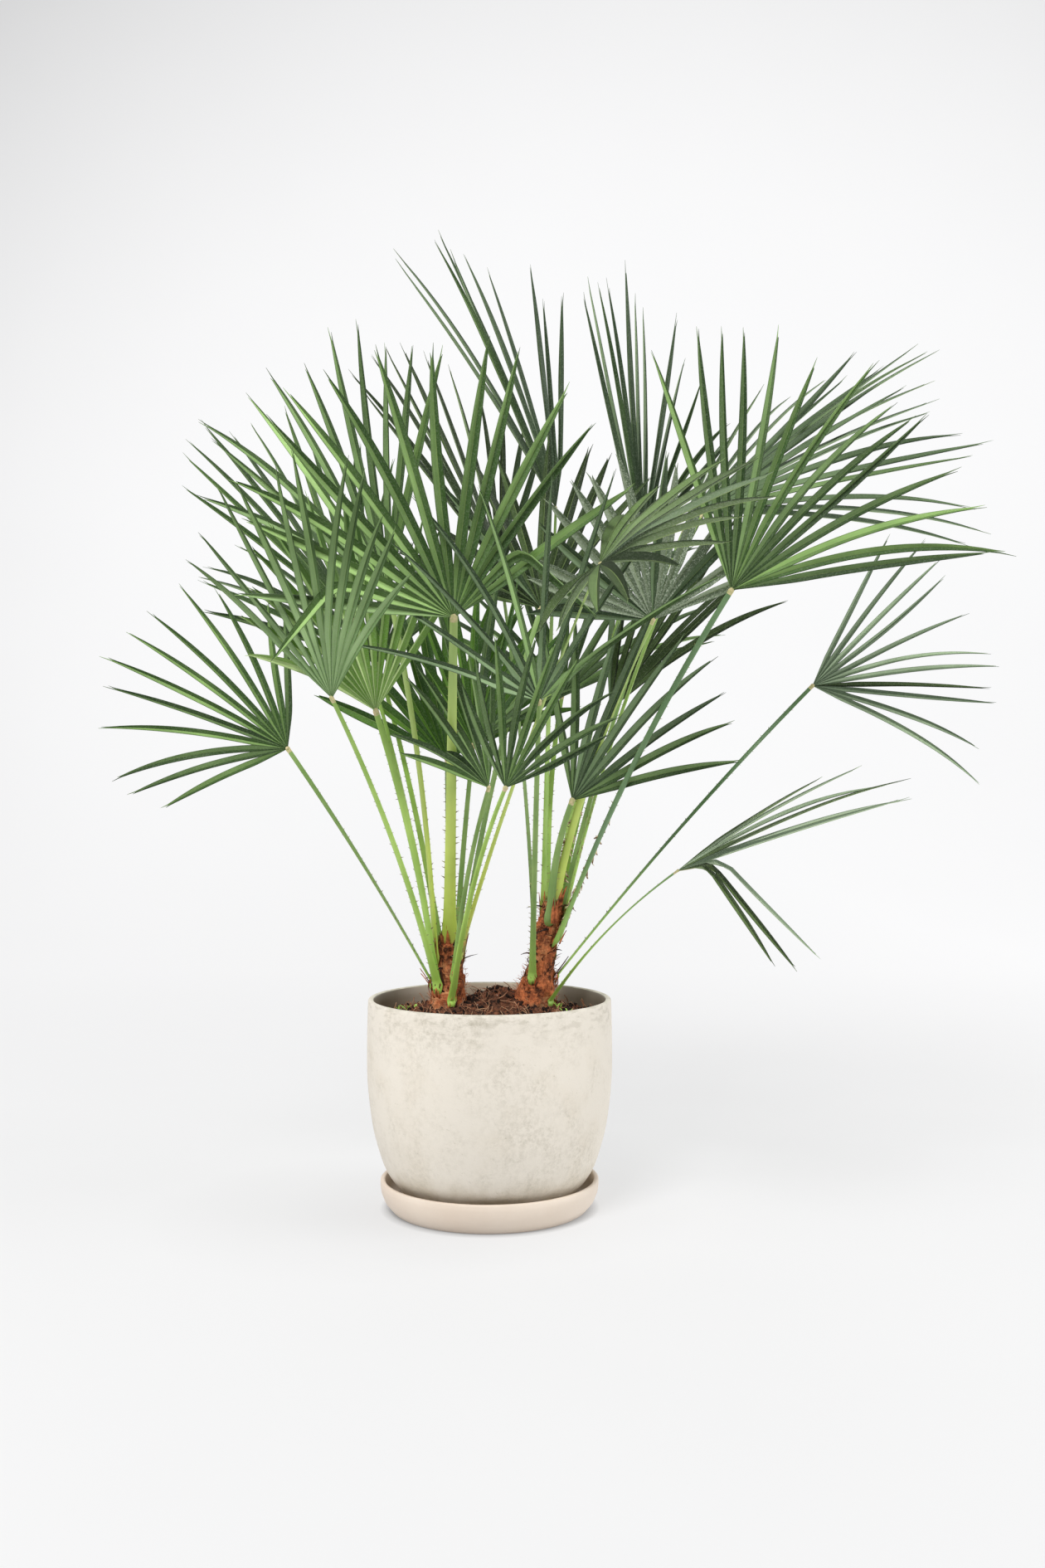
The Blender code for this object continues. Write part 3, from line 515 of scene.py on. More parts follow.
def heading(azimuth, rise):
    a, e = math.radians(azimuth), math.radians(rise)
    return Vector((math.cos(e) * math.cos(a), math.cos(e) * math.sin(a), math.sin(e)))


def square_to(v, axis):
    """The part of v that is square to axis, at unit length."""
    return (v - axis * v.dot(axis)).normalized()


def bark_at(side, rise):
    """Centre and radius of the fibre, which is slimmer at the waist than the solid."""
    centre, radius = trunk_at(side, rise)
    share = min(1.0, max(0.0, rise / TRUNKS[side][2]))
    return centre, radius * (1 - BARK_WAIST[side] * math.sin(math.pi * share ** 1.3))


def clad_trunk(side):
    """The trunk with stumps of old leaf bases that overlap like scales."""
    rng = random.Random(5 if side == "left" else 8)
    height = TRUNKS[side][2]
    stumps = [(rng.uniform(0, 2 * math.pi), height * (0.06 + 0.80 * k / BARK_STUMPS[side]),
               rng.uniform(0.30, 0.46), rng.uniform(0.012, 0.020), rng.uniform(0.0016, 0.0034))
              for k in range(BARK_STUMPS[side])]
    shape, rings = Shape(), []
    shift = 3.0 if side == "left" else 9.0
    for j in range(BARK_RINGS + 1):
        rise = height * j / BARK_RINGS
        centre, radius = bark_at(side, rise)
        ring = []
        for k in range(BARK_SPOKES):
            a = 2 * math.pi * k / BARK_SPOKES
            r = radius * 0.955
            for at, low, wide, tall, deep in stumps:
                off = (a - at + math.pi) % (2 * math.pi) - math.pi
                up = (rise - low) / tall
                if abs(off) < wide and 0 < up < 1:
                    r += deep * (1 - (off / wide) ** 2) * min(1, (1 - up) * 7) * up ** 0.5
            strand = noise.noise(Vector((math.cos(a) * 9, math.sin(a) * 9, rise * 60 + shift)))
            knot = noise.noise(Vector((math.cos(a) * 2.2, math.sin(a) * 2.2, rise * 45 - shift)))
            r += 0.0011 * strand + 0.0018 * knot
            wave = 0.0010 * math.sin(a * 9 + rise * 90)
            ring.append(centre + Vector((math.cos(a), math.sin(a), 0)) * r
                        + Vector((0, 0, wave if 0 < j < BARK_RINGS else 0)))
        rings.append(shape.put(ring))
    crown = shape.put([trunk_at(side, height)[0] + Vector((0, 0, 0.006))])[0]
    foot = shape.put([trunk_at(side, 0)[0]])[0]
    for k in range(BARK_SPOKES):
        n = (k + 1) % BARK_SPOKES
        for one, two in zip(rings, rings[1:]):
            shape.face((one[k], one[n], two[n], two[k]))
        shape.face((rings[-1][k], rings[-1][n], crown))
        shape.face((rings[0][n], rings[0][k], foot))
    return shape


def add_strip(shape, path, ups, widths, thick, kind=0, laid=0.0):
    """A thin closed strip along a path, as wide as given at each step."""
    rows = []
    for k, (p, up) in enumerate(zip(path, ups)):
        along = (path[min(k + 1, len(path) - 1)] - path[max(k - 1, 0)]).normalized()
        side = along.cross(up).normalized() * widths[k] / 2
        lift = side.cross(along).normalized() * thick / 2
        v = laid + k * 0.01
        rows.append(shape.put([p - side + lift, p + lift * 1.6, p + side + lift,
                               p + side - lift, p - side - lift],
                              [(0.0, v), (0.5, v), (1.0, v), (1.0, v), (0.0, v)]))
    for one, two in zip(rows, rows[1:]):
        for a in range(5):
            b = (a + 1) % 5
            shape.face((one[a], two[a], two[b], one[b]), kind)
    shape.face(rows[0], kind)
    shape.face(rows[-1][::-1], kind)


bark, place, shader = start_material("fibre bark", Specular_IOR_Level=0.2)
strands = place.grain(260, 5, 0.7, (1, 1, 0.3))
wrapped = place.grain(150, 5, 0.75, (0.5, 0.5, 2.4))
clumps = place.grain(80, 4, 0.65)
black = place.grain(52, 4, 0.7).window(0.53, 0.62) * 0.85
pale = place.grain(38, 2).window(0.52, 0.66) * wrapped.window(0.42, 0.6)
red = (strands * 0.35 + wrapped * 0.3 + clumps * 0.35).window(0.41, 0.58)
feed(shader, Base_Color=(pale * 0.7).tint(black.tint(red.tint(FIBRE_DARK, FIBRE_RED), FLAKE_DARK),
                                          FIBRE_TAN),
     Roughness=strands * 0.2 + 0.75,
     Normal=(strands * 0.6 + wrapped * 0.5 + clumps * 0.7).relief(0.0030, 0.9))
red_fibre, place, shader = start_material("red fibre", Specular_IOR_Level=0.2)
strands = place.grain(120, 3)
feed(shader, Base_Color=strands.window(0.35, 0.68).tint(FIBRE_DARK, FIBRE_RED),
     Roughness=strands * 0.2 + 0.7, Normal=strands.relief(0.0004, 0.5))
pale_fibre, place, shader = start_material("tan fibre", Specular_IOR_Level=0.2)
strands = place.grain(120, 3)
feed(shader, Base_Color=strands.window(0.35, 0.68).tint(FIBRE_RED, FIBRE_TAN),
     Roughness=strands * 0.2 + 0.7, Normal=strands.relief(0.0004, 0.5))
dry, place, shader = start_material("dry sheath", Specular_IOR_Level=0.25)
strands = place.grain(200, 4, 0.6, (1, 1, 0.3))
feed(shader, Base_Color=strands.window(0.4, 0.7).tint(FLAKE_DARK, (0.16, 0.055, 0.028, 1)),
     Roughness=strands * 0.2 + 0.65, Normal=strands.relief(0.0008, 0.7))

for side in TRUNKS:
    clad = clad_trunk(side)
    trunk = clad.piece("bark_" + side, [bark])
    trunk.data.set_sharp_from_angle(angle=math.radians(50))
    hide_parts("trunk_" + side)
    around = bpy.data.meshes.new("bark_face")
    lowest = SOIL_TOP + 0.004
    around.from_pydata([tuple(v) for v in clad.verts], [],
                       [f for f in clad.faces if all(clad.verts[i].z > lowest for i in f)])
    net = thread_net("bark_fibre", red_fibre)
    hair = grow("bark_fibre_" + side, around, net, Density=60000.0, Length=0.007, Width=0.024,
                Lift=(0.0, 0.0, 0.60), Stray=0.95, Seed=3)
    net = thread_net("bark_fibre_pale", pale_fibre)
    hair = grow("bark_fibre_pale_" + side, around, net, Density=14000.0, Length=0.008,
                Width=0.024, Lift=(0.0, 0.0, 0.90), Stray=0.8, Seed=8)

flakes = Shape()
for side, count in (("left", 24), ("right", 60)):
    rng = random.Random(77 if side == "left" else 99)
    height = TRUNKS[side][2]
    for _ in range(count):
        rise = height * rng.uniform(0.18, 1.0) ** 0.8
        centre, radius = bark_at(side, rise)
        a = rng.uniform(0, 360)
        out = heading(a, 0)
        start = centre + out * radius * 0.92
        long = rng.uniform(0.005, 0.020)
        aim = (out * rng.uniform(0.1, 0.7) + Vector((0, 0, rng.uniform(0.3, 1.2)))
               + Vector((rng.uniform(-.7, .7), rng.uniform(-.7, .7), 0))).normalized()
        curl = (out.cross(Vector((0, 0, 1))) * rng.uniform(-0.9, 0.9) + out * rng.uniform(-0.6, 0.7)
                - Vector((0, 0, rng.uniform(0, 0.9))))
        path = [start + aim * long * t + curl * long * t * t for t in (0, 0.25, 0.5, 0.75, 1)]
        wide = rng.uniform(0.0007, 0.0028)
        add_strip(flakes, path, [out] * 5, [wide, wide, wide * 0.8, wide * 0.5, wide * 0.12],
                  0.0005)
scraps = flakes.piece("dry_sheaths", [dry])


# Stalks: each leaf stands on a tapering stalk, flat above and round below, with
# short spines along both edges. Its broad pale foot clasps the trunk, where it grew.
RINGS = (0.0, 0.14, 0.35, 0.58, 0.80, 1.0)
NECK = 0.013
STALK_FLAT = 0.56
STALK_SECTION = ((-1.0, 0.1), (-0.55, -0.9), (0.55, -0.9), (1.0, 0.1), (0.0, 0.55))
STALK_TAPER = 0.7
STALK_TWIST = 1.5
KNOB = 0.8
KNOB_DEEP = 0.5
KNOB_END = (0.62, 0.4)
TOP_SHARE = 0.35
REACH_OUT = 0.014
REACH_UP = 0.020
LOWEST_FOOT = 0.008
TURNS = (0, -8, 8, -16, 16, -24, 24, -34, 34, -46, 46)
RISES = (0, -0.006, 0.006, -0.012, 0.012, -0.02, 0.02, -0.03, 0.03)
SWAYS = (0, -0.012, 0.012, -0.024, 0.024)
ROOM = 0.0007
HUB_GAP = 0.0007
PLEAT = 0.30
THIN = 0.0030
THIN_SHARE = 0.0101
THIN_TIP = 0.62
THIN_JOIN = 0.8
FRONDS = (
    ("left_05", "left", 0.076, 262, (-0.035, -0.140, 0.660), (-141, 71), 0.286, (-90, 10),
     145, 15, 0.0120, 0.20, 0.05, 8, 0.0150, 0.0085, 0.010, ((1, 0.45), (13, 0.52))),
    ("right_05", "right", 0.124, 300, (0.185, -0.020, 0.670), (-115, 66), 0.190, (-90, -10),
     150, 15, 0.0125, 0.20, 0.05, 10, 0.0140, 0.0085, 0.012, ()),
    ("right_01", "right", 0.040, 250, (0.055, -0.170, 0.570), (180, 80), 0.240, (-80, 5),
     135, 9, 0.0100, 0.05, 0.16, 5, 0.0090, 0.0060, 0.010, ()),
    ("left_12", "left", 0.066, 320, (0.115, -0.220, 0.705), (-39, 16), 0.195, (-85, 50),
     210, 14, 0.0135, 0.35, 0.10, 5, 0.0100, 0.0070, 0.012, ()),
    ("left_02", "left", 0.030, 235, (-0.165, -0.130, 0.575), (-100, 66), 0.265, (-115, 15),
     82, 11, 0.0095, 0.22, 0.06, 8, 0.0120, 0.0070, 0.012, ()),
    ("left_04", "left", 0.045, 215, (-0.125, -0.060, 0.565), (-145, 72), 0.245, (-60, 10),
     100, 12, 0.0105, 0.30, 0.05, 10, 0.0130, 0.0075, 0.010, ()),
    ("left_06", "left", 0.060, 205, (-0.115, -0.010, 0.705), (175, 70), 0.295, (-112, 0),
     82, 11, 0.0095, 0.05, 0.05, 5, 0.0150, 0.0080, 0.010, ()),
    ("right_10", "right", 0.085, 325, (0.265, -0.090, 0.695), (-24, 57), 0.268, (-90, 20),
     105, 14, 0.0092, -0.08, 0.13, 4, 0.0100, 0.0065, 0.012, ()),
    ("right_09", "right", 0.102, 10, (0.250, 0.060, 0.805), (4, 20), 0.345, (-90, 40),
     66, 10, 0.0085, 0.06, 0.07, 0, 0.0120, 0.0070, 0.014, ()),
    ("right_03", "right", 0.112, 125, (0.080, 0.180, 0.833), (180, 70), 0.355, (-32, 17),
     75, 10, 0.0090, -0.05, 0.03, 5, 0.0100, 0.0065, 0.012, ()),
    ("right_07", "right", 0.112, 70, (0.185, 0.160, 0.780), (82, 77), 0.366, (-36, 0),
     84, 12, 0.0088, 0.15, 0.03, 5, 0.0110, 0.0065, 0.012, ()),
    ("right_08", "right", 0.100, 45, (0.241, 0.175, 0.805), (22, 41), 0.400, (-148, 43),
     78, 11, 0.0088, 0.15, 0.05, 3, 0.0100, 0.0065, 0.014, ()),
    ("right_02", "right", 0.090, 150, (0.010, 0.120, 0.745), (138, 64), 0.325, (-40, 0),
     84, 11, 0.0090, 0.15, 0.05, 5, 0.0100, 0.0065, 0.012, ()),
    ("left_03", "left", 0.050, 165, (-0.170, 0.120, 0.685), (152, 61), 0.318, (-50, 10),
     80, 11, 0.0088, 0.18, 0.08, 5, 0.0110, 0.0065, 0.014, ()),
    ("left_07", "left", 0.062, 95, (-0.055, 0.120, 0.515), (88, 72), 0.250, (-90, 10),
     135, 13, 0.0125, 0.25, 0.05, 5, 0.0100, 0.0065, 0.012, ()),
    ("left_09", "left", 0.060, 40, (0.060, 0.080, 0.695), (64, 72), 0.225, (-90, 30),
     180, 14, 0.0110, 0.25, 0.06, 5, 0.0110, 0.0070, 0.010, ()),
    ("left_08", "left", 0.064, 70, (-0.020, 0.030, 0.530), (55, 77), 0.215, (-60, 0),
     105, 11, 0.0095, 0.25, 0.05, 5, 0.0090, 0.0060, 0.008, ()),
    ("right_04", "right", 0.110, 270, (0.095, 0.010, 0.465), (-20, 56), 0.238, (-125, 0),
     88, 9, 0.0100, 0.08, 0.05, 4, 0.0120, 0.0080, 0.006, ()),
    ("right_06", "right", 0.070, 50, (0.145, 0.130, 0.575), (5, 60), 0.300, (-80, 10),
     66, 9, 0.0095, 0.15, 0.05, 5, 0.0100, 0.0065, 0.012, ()),
    ("left_10", "left", 0.040, 300, (0.000, -0.050, 0.480), (-150, 55), 0.165, (-90, 10),
     84, 8, 0.0085, 0.15, 0.07, 5, 0.0090, 0.0060, 0.010, ()),
    ("left_01", "left", 0.032, 180, (-0.235, 0.020, 0.525), (-171, 34), 0.235, (-80, 20),
     128, 12, 0.0080, 0.30, 0.08, 5, 0.0110, 0.0065, 0.004, ()),
    ("right_11", "right", 0.040, 5, (0.380, 0.050, 0.600), (0, 18), 0.214, (-90, 10),
     98, 11, 0.0072, 0.00, 0.05, 5, 0.0090, 0.0055, 0.006, ()),
    ("left_11", "left", 0.012, 285, (0.020, -0.170, 0.480), (-50, 62), 0.172, (-90, 15),
     92, 9, 0.0092, 0.25, 0.06, 5, 0.0110, 0.0060, 0.020, ()),
    ("right_12", "right", 0.012, 320, (0.205, -0.100, 0.390), (-12, 21), 0.262, (-131, 62),
     68, 9, 0.0076, 0.22, 0.05, 3, 0.0085, 0.0055, 0.010, ((0, 0.20), (1, 0.18), (2, 0.22))),
    ("left_13", "left", 0.060, 125, (-0.150, 0.230, 0.640), (125, 48), 0.300, (-70, 20),
     130, 13, 0.0110, 0.25, 0.08, 8, 0.0110, 0.0065, 0.014, ()),
    ("right_13", "right", 0.080, 80, (0.090, 0.280, 0.600), (85, 42), 0.310, (-90, 30),
     130, 13, 0.0110, 0.25, 0.10, 8, 0.0110, 0.0065, 0.014, ()),
)
UP = Vector((0, 0, 1))
ROUND_SIDES = 40
POT_FOOT_Z = 0.009
POT_FLOOR = 0.019
POT_INNER_R = 0.1325


class Frond:
    """One leaf: the numbers of its row, with its own frame of three axes."""

    def __init__(self, index, row):
        (self.name, self.side, self.rise, self.leave, hub, lead, self.reach, face,
         self.spread, self.count, self.wide, self.short, self.sag, self.cup,
         self.base_w, self.neck_w, self.bow, self.bent) = row
        self.hub = Vector(hub)
        self.ahead = heading(*lead)
        self.face = square_to(heading(*face), self.ahead)
        self.across = self.face.cross(self.ahead)
        self.seed = 100 + 7 * index
        self.thick = max(THIN, THIN_SHARE * self.reach)
        step = math.radians(self.spread / self.count)
        self.join = self.wide / (2 * math.tan(step / 2))

    def lean(self, angle):
        """Turn the blade about its middle leaflet."""
        self.face = (self.face * math.cos(angle) + self.across * math.sin(angle)).normalized()
        self.across = self.face.cross(self.ahead)


def stalk_mesh(frond, base, sway, pad=0.0):
    """Tapering stalk, flat above and rounded below, ending inside the hub."""
    hub = frond.hub
    chord = hub - base
    rise = square_to(UP, chord.normalized())
    aside = chord.normalized().cross(rise)
    middle = (base + hub) / 2 + rise * 2 * frond.bow + aside * sway
    rings = []
    for share in RINGS:
        t = share * (1 - NECK / chord.length)
        p = base * (1 - t) ** 2 + middle * 2 * t * (1 - t) + hub * t * t
        along = ((middle - base) * (1 - t) + (hub - middle) * t).normalized()
        rings.append((t, p, along))
    out = square_to(heading(frond.leave, 0), rings[0][2])
    side = rings[0][2].cross(out)
    goal = frond.across
    verts, before = [], rings[0][2]
    turned = []
    for t, p, along in rings:
        side = before.rotation_difference(along) @ side
        before = along
        turned.append((t, p, along, side.copy()))
    last = square_to(goal, turned[-1][2])
    if last.dot(turned[-1][3]) < 0:
        last = -last
    swing = turned[-1][3].angle(last)
    if turned[-1][3].cross(last).dot(turned[-1][2]) < 0:
        swing = -swing
    for t, p, along, s in turned:
        a = swing * t ** STALK_TWIST
        s = s * math.cos(a) + along.cross(s) * math.sin(a)
        half = (frond.base_w + (frond.neck_w - frond.base_w) * t ** STALK_TAPER) / 2
        add_ring(verts, p, s, along.cross(s), half + pad, half * STALK_FLAT + pad)
    knob = frond.across if frond.across.dot(last) > 0 else -frond.across
    half = frond.neck_w / 2
    up = frond.ahead.cross(knob)
    add_ring(verts, hub, knob, up, half + pad, half * KNOB_DEEP + pad)
    add_ring(verts, hub + frond.ahead * (half * KNOB + pad), knob, up,
             half * KNOB_END[0] + pad, half * KNOB_END[1] + pad)
    return verts, tube_faces(len(RINGS) + 2, len(STALK_SECTION))


def add_ring(verts, p, s, u, half, deep):
    for x, y in STALK_SECTION:
        verts.append(p + s * (x * half) + u * (y * deep))


def tube_faces(rings, n):
    faces = [tuple(range(n))]
    for j in range(rings - 1):
        for k in range(n):
            m = (k + 1) % n
            faces.append((j * n + k, j * n + m, (j + 1) * n + m, (j + 1) * n + k))
    faces.append(tuple((rings - 1) * n + k for k in range(n)))
    return faces


def tree(verts, faces):
    return BVHTree.FromPolygons([tuple(v) for v in verts], triangles(faces), epsilon=0.0)


def nearest(verts, faces, body):
    """Smallest gap between a small mesh and a body, by corners both ways."""
    own = tree(verts, faces)
    if own.overlap(body[2]):
        return -1.0
    points = list(verts) + [(verts[f[k]] + verts[f[k - 1]]) / 2 for f in faces
                            for k in range(len(f))]
    gap = min(body[2].find_nearest(p)[3] for p in points)
    return min(gap, min(own.find_nearest(p)[3] for p in body[0]))


def seat_stalk(frond, azimuth, rise, sway, trunk):
    """Slide the foot of the stalk off the trunk until it sits one seat away."""
    centre, radius = trunk_at(frond.side, rise)
    height = TRUNKS[frond.side][2]
    if rise >= height:
        start = centre + heading(azimuth, 0) * radius * TOP_SHARE
        move, far = UP.copy(), REACH_UP
    else:
        start, move, far = centre, heading(azimuth, 0), radius + REACH_OUT
    low, high = 0.0, far
    foot = tube_faces(3, len(STALK_SECTION))
    for _ in range(11):
        mid = (low + high) / 2
        verts, _ = stalk_mesh(frond, start + move * mid, sway)
        if nearest(verts[:3 * len(STALK_SECTION)], foot, trunk) < SEAT:
            low = mid
        else:
            high = mid
    return start + move * high


class Grown:
    """All that stands already, to test each new piece against."""

    def __init__(self):
        self.parts = {}

    def around(self, skip=""):
        """One tree of every face but those of the named piece."""
        verts, faces = [], []
        for name, (v, f) in self.parts.items():
            if name != skip:
                shift = len(verts)
                verts += [tuple(p) for p in v]
                faces += [tuple(i + shift for i in face) for face in f]
        return tree(verts, faces)


def grow_stalk(frond, trunks, grown):
    """First foot near the wanted one whose stalk passes all others."""
    around = grown.around()
    height = TRUNKS[frond.side][2]
    tries = [(abs(da) / TURNS[2] + abs(dr) / RISES[2] + abs(sw) / SWAYS[2], da, dr, sw)
             for da in TURNS for dr in RISES for sw in SWAYS]
    for _, da, dr, sw in sorted(tries):
        rise = frond.rise + dr
        if rise < LOWEST_FOOT or (frond.rise < height) != (rise < height):
            continue
        azimuth = frond.leave + da
        base = seat_stalk(frond, azimuth, rise, sw, trunks[frond.side])
        plain = stalk_mesh(frond, base, sw)
        if any(tree(*plain).overlap(trunk[2]) for trunk in trunks.values()):
            continue
        if not tree(*stalk_mesh(frond, base, sw, pad=ROOM)).overlap(around):
            frond.base, frond.sway = base, sw
            return plain
    raise ValueError("no room for the stalk of " + frond.name)


STALK_RINGS = 30
STALK_ROUND = ((-1.0, 0.10), (-0.92, -0.30), (-0.62, -0.68), (-0.22, -0.88), (0.22, -0.88),
               (0.62, -0.68), (0.92, -0.30), (1.0, 0.10), (0.55, 0.26), (0.0, 0.34),
               (-0.55, 0.26))
FOOT_FLARE = 0.50
STALK_SLIM = {"left_05": 1.02, "left_11": 0.70, "left_04": 0.95, "right_10": 0.95}
FOOT_REACH = 0.055
FOOT_TAIL = 0.017
TAIL_RINGS = 6
COLLAR_START = 0.6
SPINE_STEP = 0.0085
STALK_DEEP = (0.180, 0.310, 0.085, 1)
STALK_MOSS = (0.310, 0.450, 0.150, 1)
STALK_GREEN = (0.290, 0.480, 0.085, 1)
STALK_LIGHT = (0.500, 0.720, 0.175, 1)
STALK_FOOT = (0.430, 0.700, 0.120, 1)
STALK_LIME = (0.680, 0.800, 0.160, 1)
STALK_GOLD = (0.480, 0.600, 0.100, 1)
STALK_BLUE = (0.105, 0.205, 0.080, 1)
STALK_TEAL = (0.170, 0.285, 0.135, 1)
SPINE_BROWN = (0.150, 0.105, 0.045, 1)
HUB_CREAM = (0.66, 0.54, 0.32, 1)


def stalk_frame(frond, base, sway):
    """The stalk's curve as a function: centre, edge side, upper side, half width."""
    hub = frond.hub
    chord = hub - base
    rise = square_to(UP, chord.normalized())
    middle = (base + hub) / 2 + rise * 2 * frond.bow + chord.normalized().cross(rise) * sway
    end = 1 - NECK / chord.length

    def heads(t):
        return ((middle - base) * (1 - t) + (hub - middle) * t).normalized()

    first = heads(0)
    out = square_to(heading(frond.leave, 0), first)
    edge = first.cross(out)
    carried = first.rotation_difference(heads(end)) @ edge
    last = square_to(frond.across, heads(end))
    if last.dot(carried) < 0:
        last = -last
    swing = carried.angle(last)
    if carried.cross(last).dot(heads(end)) < 0:
        swing = -swing

    def at(t):
        p = base * (1 - t) ** 2 + middle * 2 * t * (1 - t) + hub * t * t
        s = first.rotation_difference(heads(t)) @ edge
        a = swing * max(0.0, t) ** STALK_TWIST
        s = s * math.cos(a) + heads(t).cross(s) * math.sin(a)
        half = (frond.base_w + (frond.neck_w - frond.base_w) * max(0.0, t) ** STALK_TAPER) / 2
        return p, s, heads(t).cross(s), half * STALK_SLIM.get(frond.name, 0.84)

    knob = frond.across if frond.across.dot(last) > 0 else -frond.across
    return at, end, knob


def foot_tail(shape, frond, at):
    """Rings of the foot that clasps the trunk below the stalk, from its tip up."""
    p, s, u, half = at(0.0)
    rise = p.z - SOIL_TOP - SEAT
    centre, radius = bark_at(frond.side, rise)
    out = Vector((p.x - centre.x, p.y - centre.y, 0))
    off = out.length - radius
    out.normalize()
    rings, tail = [], min(FOOT_TAIL * half / 0.0060, rise * 0.8)
    for k in range(TAIL_RINGS):
        share = math.cos(math.pi / 2 * k / TAIL_RINGS)
        level = rise - tail * share
        core, girth = bark_at(frond.side, level)
        q = core + out * (girth + off * (1 - share) + 0.0016 - 0.0030 * share ** 4)
        point = math.sqrt(max(0.01, 1 - share * share))
        wide = half * (1 + FOOT_FLARE) * point
        deep = half * STALK_FLAT * (0.75 - 0.3 * share) * max(0.3, point)
        edge = s.lerp(UP.cross(out) if s.dot(UP.cross(out)) > 0 else out.cross(UP), share)
        face = u.lerp(-out if u.dot(out) < 0 else out, share)
        rings.append(shape.put([q + edge * (x * wide) + face * (y * deep)
                                - out * ((x * wide) ** 2 / (2 * girth)) for x, y in STALK_ROUND],
                               [(x, -share * 0.1) for x, y in STALK_ROUND]))
    return rings


def fine_stalk(shape, frond):
    """The stalk's fine mesh, from its foot in the fibre to the hub of the fan."""
    at, end, knob = stalk_frame(frond, frond.base, frond.sway)
    rings, first = [], -0.02
    if frond.base.z - SOIL_TOP < TRUNKS[frond.side][2]:
        rings, first = foot_tail(shape, frond, at), 0.0
    for k in range(STALK_RINGS + 1):
        t = first + (end - first) * (k / STALK_RINGS) ** 1.15
        p, s, u, half = at(t)
        flare = 1 + FOOT_FLARE * math.exp(-max(0.0, t) / FOOT_REACH)
        slim = 1 - 0.25 * math.exp(-max(0.0, t) / FOOT_REACH)
        rings.append(shape.put([p + s * (x * half * flare)
                                + u * (y * half * STALK_FLAT * slim * (1.0 if y < 0 else 1.3))
                                for x, y in STALK_ROUND], [(x, t) for x, y in STALK_ROUND]))
    p, s, u, half = at(end + (1 - end) * COLLAR_START)
    rings.append(shape.put([p + s * (x * half) + u * (y * half * STALK_FLAT)
                            for x, y in STALK_ROUND], [(x, 1.0) for x, y in STALK_ROUND]))
    up = frond.ahead.cross(knob)
    half = frond.neck_w / 2
    for along, wide, deep in ((0.0, 1.0, 0.5), (half * 0.8, 0.62, 0.4)):
        rings.append(shape.put([frond.hub + frond.ahead * along + knob * (x * half * wide)
                                + up * (y * half * deep) for x, y in STALK_ROUND],
                               [(x, 1.0) for x, y in STALK_ROUND]))
    count = len(STALK_ROUND)
    for j, (one, two) in enumerate(zip(rings, rings[1:])):
        for a in range(count):
            b = (a + 1) % count
            shape.face((one[a], one[b], two[b], two[a]), 1 if j >= len(rings) - 3 else 0)
    shape.face(rings[0][::-1])
    shape.face(rings[-1], 1)
    return at, end


def spine_places(points, frond, at, end, rng):
    """Where spines stand on both edges, and which way and how far they point."""
    long = (frond.hub - frond.base).length
    for hand in (-1, 1):
        t = 0.06 + rng.uniform(0, 0.02)
        while t < end - 0.04:
            p, s, u, half = at(t)
            ahead = (at(t + 0.01)[0] - p).normalized()
            out = s * hand + ahead * rng.uniform(0.0, 0.7) + u * rng.uniform(-0.15, 0.3)
            size = rng.uniform(0.0018, 0.0042) * (1.15 - 0.6 * t) * (0.6 + half / 0.009)
            points.append((p + s * hand * half * 0.93 + u * half * 0.06, out.normalized(), size))
            t += SPINE_STEP / long * rng.uniform(0.6, 2.0)


def spine_net(material):
    """A three-sided spine on every point, turned to the point's own direction."""
    net, (ground, slim) = new_net("spines", (("Slimness", "Float"),))
    out = ground.node("GeometryNodeInputNamedAttribute", {"data_type": "FLOAT_VECTOR"},
                      {"Name": "out"})
    size = ground.node("GeometryNodeInputNamedAttribute", {"data_type": "FLOAT"},
                       {"Name": "size"})
    cone = ground.node("GeometryNodeMeshCone", {"fill_type": "NGON"},
                       {"Vertices": 4, "Side Segments": 1, "Radius Top": 0.02,
                        "Radius Bottom": slim, "Depth": 1.0})
    turn = ground.node("FunctionNodeAlignRotationToVector", {"axis": "Z"}, {"Vector": out})
    placed = ground.node("GeometryNodeInstanceOnPoints", {},
                         {"Points": ground, "Instance": cone, "Rotation": turn, "Scale": size})
    end_net(net, placed, material)
    return net


coarse_pot = turned([(0, POT_FOOT_Z)] + POT_OUTSIDE + [(0.1368, 0.2395), (0.1347, 0.2395)]
                    + POT_INSIDE + [(0, POT_FLOOR)], sides=ROUND_SIDES)


def soil_shape():
    """The soil fills the pot, one seat's width off its wall."""
    floor = POT_FLOOR + SEAT
    off = SEAT / math.cos(math.pi / ROUND_SIDES) + 0.0002
    return [(0, floor), (0.0795, floor), (0.095 - off, 0.0286), (0.113 - off, 0.0565),
            (0.1262 - off, 0.0988), (0.1318 - off, 0.1462), (POT_INNER_R - off, 0.194),
            (POT_INNER_R - off, SOIL_EDGE), (0.112, SOIL_EDGE + 0.0030),
            (SOIL_FLAT_R, SOIL_TOP), (0, SOIL_TOP)]


